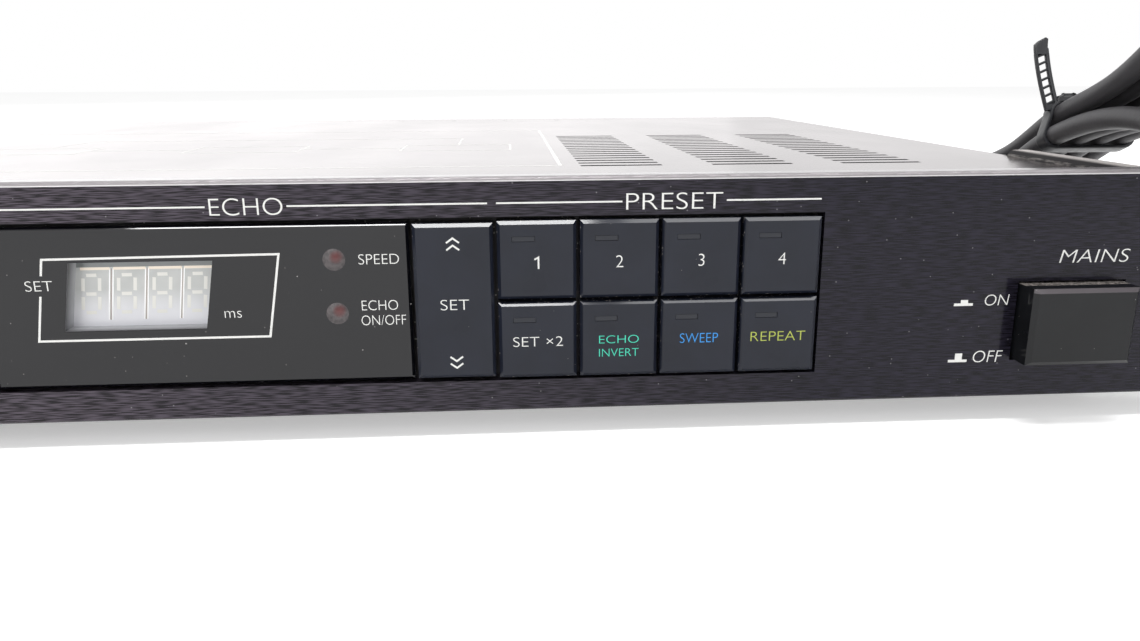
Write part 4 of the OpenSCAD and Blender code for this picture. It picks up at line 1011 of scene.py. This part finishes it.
class DELAY_UNIT_OT_case(bpy.types.Operator):
    """Finishes of the cover, brackets, pan, rear panel, feet and screws, and the printing on the cover"""

    bl_idname = "delay_unit.case"
    bl_label = "Case"

    def execute(self, context):
        ink = screen_ink("white_cover_ink", "ink")
        finish(satin_black_paint(), "top_cover", "chassis_pan", "rear_panel")
        finish(dusty_black_paint(), "left_bracket", "right_bracket", "subpanel")
        finish(zinc_plated_steel(), "bracket_screws", "cover_screws", "foot_screws")
        finish(moulded_rubber(), "rubber_feet")
        piece("cover_lines", cover_print(), ink, CASE)
        piece("cover_numbers", cover_numbers(), ink, CASE)
        return {"FINISHED"}


# Front panel and its printing

HEADING_Z = 17.3
# Ends of a heading's line and, between them, of the gap for its word; the word and its ends
HEADINGS = [(-1.6, 38.2, 52.2, 87.2, "ECHO", 38.9, 51.5), (88.8, 111.4, 130.4, 147.9, "PRESET", 112.1, 129.7)]
# Words of the power key: text, height of its capitals, ends, height and slant
POWER_WORDS = [("MAINS", 2.6, 194.8, 208.2, 5.8, 0.2), ("ON", 2.2, 180.9, 185.5, -2.4, 0.12),
               ("OFF", 2.4, 179.8, 185.5, -13.6, 0.12)]
# Push marks of the power key: height, and how far the button stands out of its line; ends and width of the
# line; place and width of the button
PUSH_MARKS = [(-3.2, 0.9), (-14.4, 1.5)]
PUSH_X0, PUSH_X1, PUSH_W = 174.9, 178.6, 0.5
BUTTON_X, BUTTON_W = 176.9, 1.4
DIAL_MARKS = 11
TICK_IN, TICK_OUT, TICK_W = 10, 11.6, 0.35
DIAL_R = 13.4


def dial_ways():
    """Directions of a dial's marks as (x, z): sine and cosine of equal steps over the knob's turn."""
    turn = np.radians(np.linspace(-KNOB_TURN, KNOB_TURN, DIAL_MARKS))
    return np.column_stack([np.sin(turn), np.cos(turn)])


def panel_lines():
    """Heading lines, the power key's two push marks and the ticks round the knobs."""
    lines = [bar((x0, HEADING_Z), (x1, HEADING_Z), sizes("line_w"))
             for row in HEADINGS for x0, x1 in (row[0:2], row[2:4])]
    for z, lift in PUSH_MARKS:
        lines += [bar((PUSH_X0, z), (PUSH_X1, z), PUSH_W),
                  bar((BUTTON_X, z + PUSH_W / 2), (BUTTON_X, z + lift), BUTTON_W)]
    for x in CONTROLS.values():
        lines += [bar((x, KNOB_Z) + TICK_IN * way, (x, KNOB_Z) + TICK_OUT * way, TICK_W)
                  for way in dial_ways()]
    return join(lines)


def panel_words():
    """Words of the two headings and of the power key, and the even numbers round the knobs."""
    words = [lettering(text, sizes("header_cap"), x0, x1, HEADING_Z) for *_, text, x0, x1 in HEADINGS]
    words += [lettering(*row, slant=slant) for *row, slant in POWER_WORDS]
    for knob_x in CONTROLS.values():
        for k, way in list(enumerate(dial_ways()))[::2]:
            x, z = (knob_x, KNOB_Z) + DIAL_R * way
            words.append(lettering(str(k), sizes("dial_cap"), x, x, z))
    return join(words)


class DELAY_UNIT_OT_panel(bpy.types.Operator):
    """Finish of the front panel and its printed lines, words and numbers"""

    bl_idname = "delay_unit.panel"
    bl_label = "Front panel"

    def execute(self, context):
        ink = screen_ink("white_panel_ink", "ink")
        finish(brushed_anodised_aluminium(), "front_panel")
        piece("panel_lines", panel_lines(), ink, CASE)
        piece("panel_words", panel_words(), ink, CASE)
        return {"FINISHED"}


# Window, display and indicator lamps

# Clear part of the window before it leans: left, right, lowest and highest; how far it leans for its height
APERTURE = (12.6, 37.45, -4.62, 7.86)
DISPLAY_SLANT = 0.175
DISPLAY_MID_Z = (APERTURE[2] + APERTURE[3]) / 2
DISPLAY_FACE_Y = 3.4
LINING_Y, LINING_GAP, LINING_THICK = 0.1, 0.01, 0.06
WINDOW_REACH = 0.3
WINDOW_EDGE = 0.08
# Cells of the display: left and right edge of each at its top; top, foot and lean of their dividers; widths
# of a divider, of the gap between two and of a top edge, which lies a step in front
CELLS = [(14.2, 19.34), (19.95, 25.63), (26.15, 31.96), (32.42, 37.9)]
CELL_TOP, CELL_FOOT, CELL_LEAN = 6.1, -3.4, 0.135
DIVIDER_W, GAP_W, EDGE_W, EDGE_STEP = 0.2, 0.26, 0.5, 0.01
SHADE_INSET, SHADE_GAP = 0.1, 0.25
# Digits: their places, middle height, width and height, slant, width of a segment and its gap at each end
DIGIT_XS = [15.76, 21.99, 28.23, 34.44]
DIGIT_Z = 1.45
DIGIT_SIZE = np.array([2.9, 6.9])
DIGIT_SLANT = 0.12
SEGMENT_W, SEGMENT_TRIM = 0.62, 0.55
# Printed line round the display, open where its word stands
ROUND_DISPLAY = [(8.3, 1.9), (6.9, -6.3), (47.4, -6.3), (50.1, 8.8), (9.4, 8.5), (8.9, 5.6)]
ROUND_DISPLAY_W = 0.39
WINDOW_WORDS = [("SET", 5.9, 10.6, 3.8), ("SPEED", 64.0, 71.2, 7.6), ("ECHO", 64.1, 70.6, -0.9),
                ("ON/OFF", 63.9, 71.9, -3.7)]
UNIT_WORD = ("ms", 2.0, 39.7, 42.7, -1.7)
# A lens's core: how far it lies to the right and up, and its radius
CORE_OFF = (0.4, 0.5)
CORE_R = 1.3
LENS_DEPTH = 0.3


def leaning(patch):
    """Patch leaning like the display: x grows with the height above the display's middle."""
    points, faces = patch
    shift = DISPLAY_SLANT * (points[:, 2] - DISPLAY_MID_Z)
    return points + shift[:, None] * np.array([1, 0, 0]), faces


def window_patch():
    """Plate with a leaning opening: bevelled outside, a fine edge inside, its left end close to the panel."""
    low, high = box("display_window")
    low[0] -= WINDOW_REACH
    bevel = sizes("window_bevel")
    profile = [(0, 0, high[1]), (0, 0, low[1] + bevel), (0, bevel, low[1]), (1, -WINDOW_EDGE, low[1]),
               (1, 0, low[1] + WINDOW_EDGE), (1, 0, high[1])]
    points, faces = frame_ring((low[0], high[0], low[2], high[2]), APERTURE, profile)
    leant, _ = leaning((points, faces))
    inside = (points[:, 0] > APERTURE[0] - 1) & (points[:, 0] < APERTURE[1] + 1)
    return np.where(inside[:, None], leant, points), faces


def bezel_patch():
    """Grey lining of the opening: a thin leaning frame from the window's front to the display's face."""
    profile = [(1, LINING_GAP, LINING_Y), (1, LINING_THICK, LINING_Y), (1, LINING_THICK, DISPLAY_FACE_Y),
               (1, LINING_GAP, DISPLAY_FACE_Y)]
    return leaning(frame_ring(APERTURE, APERTURE, profile))


def digit(x, y):
    """Seven bars of a figure eight, leaning to the right, x measured at its upper half."""
    ends = np.array([[(-1, 0), (-1, 1)], [(1, 0), (1, 1)], [(-1, -1), (-1, 0)], [(1, -1), (1, 0)],
                     [(-1, 1), (1, 1)], [(-1, 0), (1, 0)], [(-1, -1), (1, -1)]]) * DIGIT_SIZE / 2
    bars = []
    for start, end in ends:
        trim = SEGMENT_TRIM * unit(end - start)
        pair = np.array([start + trim, end - trim])
        pair[:, 0] += DIGIT_SLANT * (pair[:, 1] - DIGIT_SIZE[1] / 4)
        bars.append(bar(*(pair + (x, DIGIT_Z)), SEGMENT_W, y))
    return bars


def display_marks():
    """The mask on the display's face: name, patch, material and colour of each of its pieces."""
    left, right, _, top = np.array(APERTURE) + SHADE_INSET * np.array([1, -1, 1, -1])
    low = CELL_TOP + SHADE_GAP
    near = DISPLAY_FACE_Y - sizes("film")
    lean = CELL_LEAN * (CELL_TOP - CELL_FOOT)
    between = [(last, first) for (_, last), (first, _) in zip(CELLS, CELLS[1:])]
    shade = strip([(left, low), (right, low), (right, top), (left, top)], near)
    digits = [part for x in DIGIT_XS for part in digit(x, near)]
    dividers = [bar((x, CELL_TOP), (x - lean, CELL_FOOT), DIVIDER_W, near) for pair in between for x in pair]
    gaps = [bar((x, CELL_TOP), (x - lean, CELL_FOOT), GAP_W, near) for x in np.mean(between, axis=1)]
    edges = [bar((first, CELL_TOP), (last, CELL_TOP), EDGE_W, near - EDGE_STEP) for first, last in CELLS]
    return [("display_shade", leaning(shade), "grey_shade", "#747877"),
            ("display_digits", join(digits), "unlit_segments", "#dddcd6"),
            ("display_dividers", join(dividers), "cell_dividers", "#ffffff"),
            ("display_gaps", join(gaps), "cell_gaps", "#a39a94"),
            ("display_edge", join(edges), "cream_edge", "#f3e6d5")]


def lens_patch(x, z, radius, rise):
    """Low lens: its height falls with the squared distance from its middle."""
    r = np.linspace(radius, 0, 12)
    dome = np.column_stack([-rise * (1 - (r / radius) ** 2), r])
    return turned(np.concatenate([[(LENS_DEPTH, 0), (LENS_DEPTH, radius)], dome]), x, z, 40)


def mark_cores(mesh, middles):
    """Share of the core at each point of the lenses: one less squared distance over squared radius."""
    flat = np.array([vertex.co.xz for vertex in mesh.vertices]) / MM
    away = np.min([((flat - middle_xz) ** 2).sum(1) for middle_xz in middles], axis=0)
    layer = mesh.attributes.new(CORE_LAYER, "FLOAT", "POINT")
    layer.data.foreach_set("value", np.clip(1 - away / CORE_R ** 2, 0, 1))


class DELAY_UNIT_OT_display(bpy.types.Operator):
    """Window with its opening, the unlit display behind it, its printing and the indicator lamps"""

    bl_idname = "delay_unit.display"
    bl_label = "Display"

    def execute(self, context):
        piece("window_plate", window_patch(), smoked_acrylic(), CASE, ("display_window",),
              sharp_deg=20)
        finish(display_tone("display_housing", "#3a3a3c"), "display_module")
        piece("display_bezel", bezel_patch(), display_lining(), CASE)
        left, right, base, top = APERTURE
        face = strip([(left, base), (right, base), (right, top), (left, top)], DISPLAY_FACE_Y)
        piece("display_silver_face", leaning(face), display_silver(), CASE)
        for name, patch, *look in display_marks():
            piece(name, patch, display_tone(*look), CASE)
        ink = screen_ink("white_window_ink", "ink")
        piece("window_lines", printed_route(ROUND_DISPLAY, ROUND_DISPLAY_W), ink, CASE)
        words = [lettering(text, sizes("legend_cap"), *place) for text, *place in WINDOW_WORDS]
        piece("window_words", join(words + [lettering(*UNIT_WORD)]), ink, CASE)
        low, high = box("indicator_lamps")
        x, radius = (low[0] + high[0]) / 2, (high[0] - low[0]) / 2
        heights = (high[2] - radius, low[2] + radius)
        lamps = join([lens_patch(x, z, radius, sizes("lens_rise")) for z in heights])
        lenses = piece("indicator_lenses", lamps, lamp_lens(), CASE, ("indicator_lamps",),
                       sharp_deg=30)
        mark_cores(lenses.data, [np.array([x, z]) + CORE_OFF for z in heights])
        return {"FINISHED"}


# Keys, rocker and power key

KEYS = ["preset_key_1", "preset_key_2", "preset_key_3", "preset_key_4",
        "double_key", "invert_key", "sweep_key", "repeat_key"]
# Ink of a key's words, half their width, and each word with its height over the key's middle
KEY_WORDS = {
    "double_key": ("ink", 4.6, [("SET ×2", -0.2)]),
    "invert_key": ("ink_invert", 3.7, [("ECHO", -0.1), ("INVERT", -2.65)]),
    "sweep_key": ("ink_sweep", 3.6, [("SWEEP", -0.2)]),
    "repeat_key": ("ink_repeat", 5.2, [("REPEAT", -0.2)]),
}
# Height of the capitals where two words share a key, over that of a single one
PAIR_SHARE = 0.82
# How far the numbers and the rocker's word lie under the middle
LEGEND_DROP = 0.4
# The number one as a stroke with a flag, and its width, in cap heights
NUMBER_ONE = np.array([(-0.2, 0.25), (0.12, 0.42), (0.12, -0.5)])
NUMBER_ONE_W = 0.13
# Rocker's arrows: way and middle height of each pair, their tips before and behind it, half width and rise
ARROW_PAIRS = [(1, 11.0), (-1, -11.6)]
ARROW_TIPS = (0.8, -0.5)
ARROW_HALF, ARROW_RISE, ARROW_W = 1.15, 0.85, 0.32
ROCKER_CAP, ROCKER_HALF = 2.0, 2.6
# Corners of a key's lamp window from the middle of its front
LAMP_LOW, LAMP_HIGH = np.array([-4.48, 0.06, 3.42]), np.array([-0.32, 0.6, 4.38])
LAMP_BEVEL = 0.05
# Dust lies on the keys behind these places; painted highlight on the power key's upper front edge, from its
# front and from its top
KEY_DUST_Y, POWER_DUST_Y = -0.35, -2.0
HIGHLIGHT_DEPTH, HIGHLIGHT_HEIGHT, TOP_SKIN = 0.8, 0.84, 0.05


def key_front(key):
    """Middle of a cap's front, in millimetres."""
    low, high = box(key)
    return np.array([(low[0] + high[0]) / 2, low[1], (low[2] + high[2]) / 2])


def number(text, x, z, y):
    """Printed number of a preset; the one, a bare stroke in the font, is a stroke with a flag."""
    cap = sizes("number_cap")
    if text != "1":
        return lettering(text, cap, x, x, z, y)
    return printed_route(NUMBER_ONE * cap + (x, z), NUMBER_ONE_W * cap, y)


def key_legend(key, inks):
    """Legend printed on a cap: a number, a word or two words one above the other."""
    x, y, z = key_front(key) + (0, SINK, 0)
    if key in KEY_WORDS:
        ink, half, lines = KEY_WORDS[key]
        cap = sizes("legend_cap") * (PAIR_SHARE if len(lines) > 1 else 1)
        words = join([lettering(word, cap, x - half, x + half, z + rise, y) for word, rise in lines])
    else:
        ink, words = "ink", number(key[-1], x, z - LEGEND_DROP, y)
    piece(key + "_legend", words, inks[ink], key + "_body")


def rocker_legend(ink):
    """Double arrows at both ends of the rocker and a word in its middle."""
    x, y, z = key_front("time_rocker") + (0, SINK, 0)
    arrows = []
    for way, at in ARROW_PAIRS:
        for tip in (z + at + way * ahead for ahead in ARROW_TIPS):
            foot = tip - ARROW_RISE * way
            route = [(x - ARROW_HALF, foot), (x, tip), (x + ARROW_HALF, foot)]
            arrows.append(printed_route(route, ARROW_W, y))
    piece("rocker_arrows", join(arrows), ink, "rocker")
    word = lettering("SET", ROCKER_CAP, x - ROCKER_HALF, x + ROCKER_HALF, z - LEGEND_DROP, y)
    piece("rocker_word", word, ink, "rocker")


class DELAY_UNIT_OT_keys(bpy.types.Operator):
    """Finish of the caps, their legends and small lamp windows, the rocker and the power key"""

    bl_idname = "delay_unit.keys"
    bl_label = "Keys"

    def execute(self, context):
        inks = {name: screen_ink(name + "_on_keys", name)
                for name in ("ink", "ink_invert", "ink_sweep", "ink_repeat")}
        finish(satin_key_abs("satin_key_abs", "key", KEY_DUST_Y), *KEYS, "time_rocker")
        low, high = box("power_key")
        edge = (low[1] + HIGHLIGHT_DEPTH, high[2] - HIGHLIGHT_HEIGHT, high[2] - TOP_SKIN)
        finish(satin_key_abs("satin_power_abs", "power", POWER_DUST_Y, edge), "power_key")
        window = key_window_acrylic()
        for key in KEYS:
            key_legend(key, inks)
            front = key_front(key)
            lens = block(front + LAMP_LOW, front + LAMP_HIGH, LAMP_BEVEL)
            piece(key + "_lamp", lens, window, key + "_body")
        rocker_legend(inks["ink"])
        return {"FINISHED"}


# Knobs and meter lamps

# Knob from its hollow back round to its face: y, radius and share of the flutes
KNOB_ROWS = np.array([
    (-4.0, 0, 0), (-4.0, 6.5, 0), (-0.8, 6.5, 0), (-0.8, 8.3, 0), (-1.0, 8.5, 0), (-2.8, 8.5, 0),
    (-3.2, 8.2, 0), (-3.6, 8.0, 1), (-13.4, 7.5, 1), (-14.2, 7.2, 0.6), (-14.8, 6.6, 0), (-15.0, 6.0, 0),
    (-14.8, 4.6, 0), (-14.8, 0, 0)])
KNOB_STEPS, KNOB_FLUTES = 192, 24
POINTER_HALF, POINTER_BEVEL = 0.55, 0.12
# Pointer on the face and on the grip: near and far y, lowest and highest place over the knob's middle
POINTER_STRETCHES = ((-15.05, -14.6, 1.6, 6.6), (-14.3, -3.7, 6.9, 7.9))


def knob_patch(x):
    """Turned knob, hollow behind, with fluted grip, rounded face edge and a plain skirt."""
    return turned(KNOB_ROWS[:, :2], x, KNOB_Z, KNOB_STEPS, KNOB_FLUTES, sizes("flute_depth"), KNOB_ROWS[:, 2])


def pointer_patch(x):
    """White pointer let into the knob's face and along its grip."""
    half = np.array([POINTER_HALF, 0, 0])
    return join([block((x, y0, KNOB_Z + z0) - half, (x, y1, KNOB_Z + z1) + half, POINTER_BEVEL)
                 for y0, y1, z0, z1 in POINTER_STRETCHES])


class DELAY_UNIT_OT_knobs(bpy.types.Operator):
    """Fluted knobs with their pointers, shafts, nuts and the meter's lamps"""

    bl_idname = "delay_unit.knobs"
    bl_label = "Knobs"

    def execute(self, context):
        grip = fine_knob_abs()
        ink = screen_ink("white_pointer_ink", "ink")
        steel = zinc_plated_steel()
        for control, x in CONTROLS.items():
            body = control + "_control"
            piece(control + "_fluted_knob", knob_patch(x), grip, body, (control + "_knob",),
                  sharp_deg=40)
            piece(control + "_pointer", pointer_patch(x), ink, body)
            finish(steel, control + "_shaft")
        finish(steel, "control_nuts", "control_bodies")
        finish(plain_finish("meter_lens", "#5a2f2c", "#6d3733", 0.25, 0.0, 0.8), "meter_lamps")
        return {"FINISHED"}


# Inner pieces and the rear's sockets

# Material, its two tones, roughness, metal and size of its grain, and its nodes
INNER_FINISHES = [
    ("solder_mask", "#1a4a2b", "#24603a", 0.3, 0.0, 6.0, ("main_board", "front_board")),
    ("moulded_epoxy", "#141415", "#1e1e20", 0.5, 0.0, 0.4, ("chips", "regulators", "key_switches")),
    ("shrunk_sleeve", "#16203f", "#1d2a52", 0.3, 0.0, 3.0, ("capacitors",)),
    ("varnished_plates", "#55524e", "#6b6761", 0.45, 0.7, 0.6, ("transformer_core",)),
    ("winding_tape", "#a8822e", "#c09a44", 0.35, 0.0, 2.0, ("transformer_coil",)),
    ("anodised_fins", "#17171a", "#222225", 0.45, 0.6, 1.0, ("heat_sink",)),
    ("moulded_polyamide", "#c8c3b2", "#d6d1c2", 0.5, 0.0, 0.8, ("power_switch", "range_slider")),
    ("moulded_phenolic", "#111112", "#1b1b1c", 0.45, 0.0, 0.8, ("jack_sockets", "range_switch")),
    ("turned_brass", "#a8894a", "#bb9d5c", 0.3, 1.0, 0.5, ("board_standoffs",)),
]


class DELAY_UNIT_OT_inside(bpy.types.Operator):
    """Finishes of the boards, supply, switches and rear sockets"""

    bl_idname = "delay_unit.inside"
    bl_label = "Inside and rear"

    def execute(self, context):
        for *look, nodes in INNER_FINISHES:
            finish(plain_finish(*look), *nodes)
        finish(zinc_plated_steel(), "board_screws", "jack_nuts")
        return {"FINISHED"}


class DELAY_UNIT_PT_pieces(bpy.types.Panel):
    """Lists the operators, sizes and colours"""

    bl_idname = "DELAY_UNIT_PT_pieces"
    bl_label = "Delay unit"
    bl_space_type = "VIEW_3D"
    bl_region_type = "UI"
    bl_category = "Delay unit"

    def draw(self, context):
        for operator in OPERATORS:
            self.layout.operator(operator.bl_idname)
        for group in (context.scene.delay_unit_sizes, context.scene.delay_unit_colours):
            for name in group.__annotations__:
                self.layout.prop(group, name)


OPERATORS = (DELAY_UNIT_OT_stage, DELAY_UNIT_OT_cord, DELAY_UNIT_OT_case, DELAY_UNIT_OT_panel,
             DELAY_UNIT_OT_display, DELAY_UNIT_OT_keys, DELAY_UNIT_OT_knobs, DELAY_UNIT_OT_inside)
CLASSES = (DelayUnitSizes, DelayUnitColours, *OPERATORS, DELAY_UNIT_PT_pieces)


def register():
    for cls in CLASSES:
        bpy.utils.register_class(cls)
    bpy.types.Scene.delay_unit_sizes = bpy.props.PointerProperty(type=DelayUnitSizes)
    bpy.types.Scene.delay_unit_colours = bpy.props.PointerProperty(type=DelayUnitColours)


def unregister():
    del bpy.types.Scene.delay_unit_sizes
    del bpy.types.Scene.delay_unit_colours
    for cls in reversed(CLASSES):
        bpy.utils.unregister_class(cls)


def main():
    register()
    bpy.ops.delay_unit.stage()
    bpy.ops.delay_unit.cord()
    bpy.ops.delay_unit.case()
    bpy.ops.delay_unit.panel()
    bpy.ops.delay_unit.display()
    bpy.ops.delay_unit.keys()
    bpy.ops.delay_unit.knobs()
    bpy.ops.delay_unit.inside()


if __name__ == "__main__":
    main()
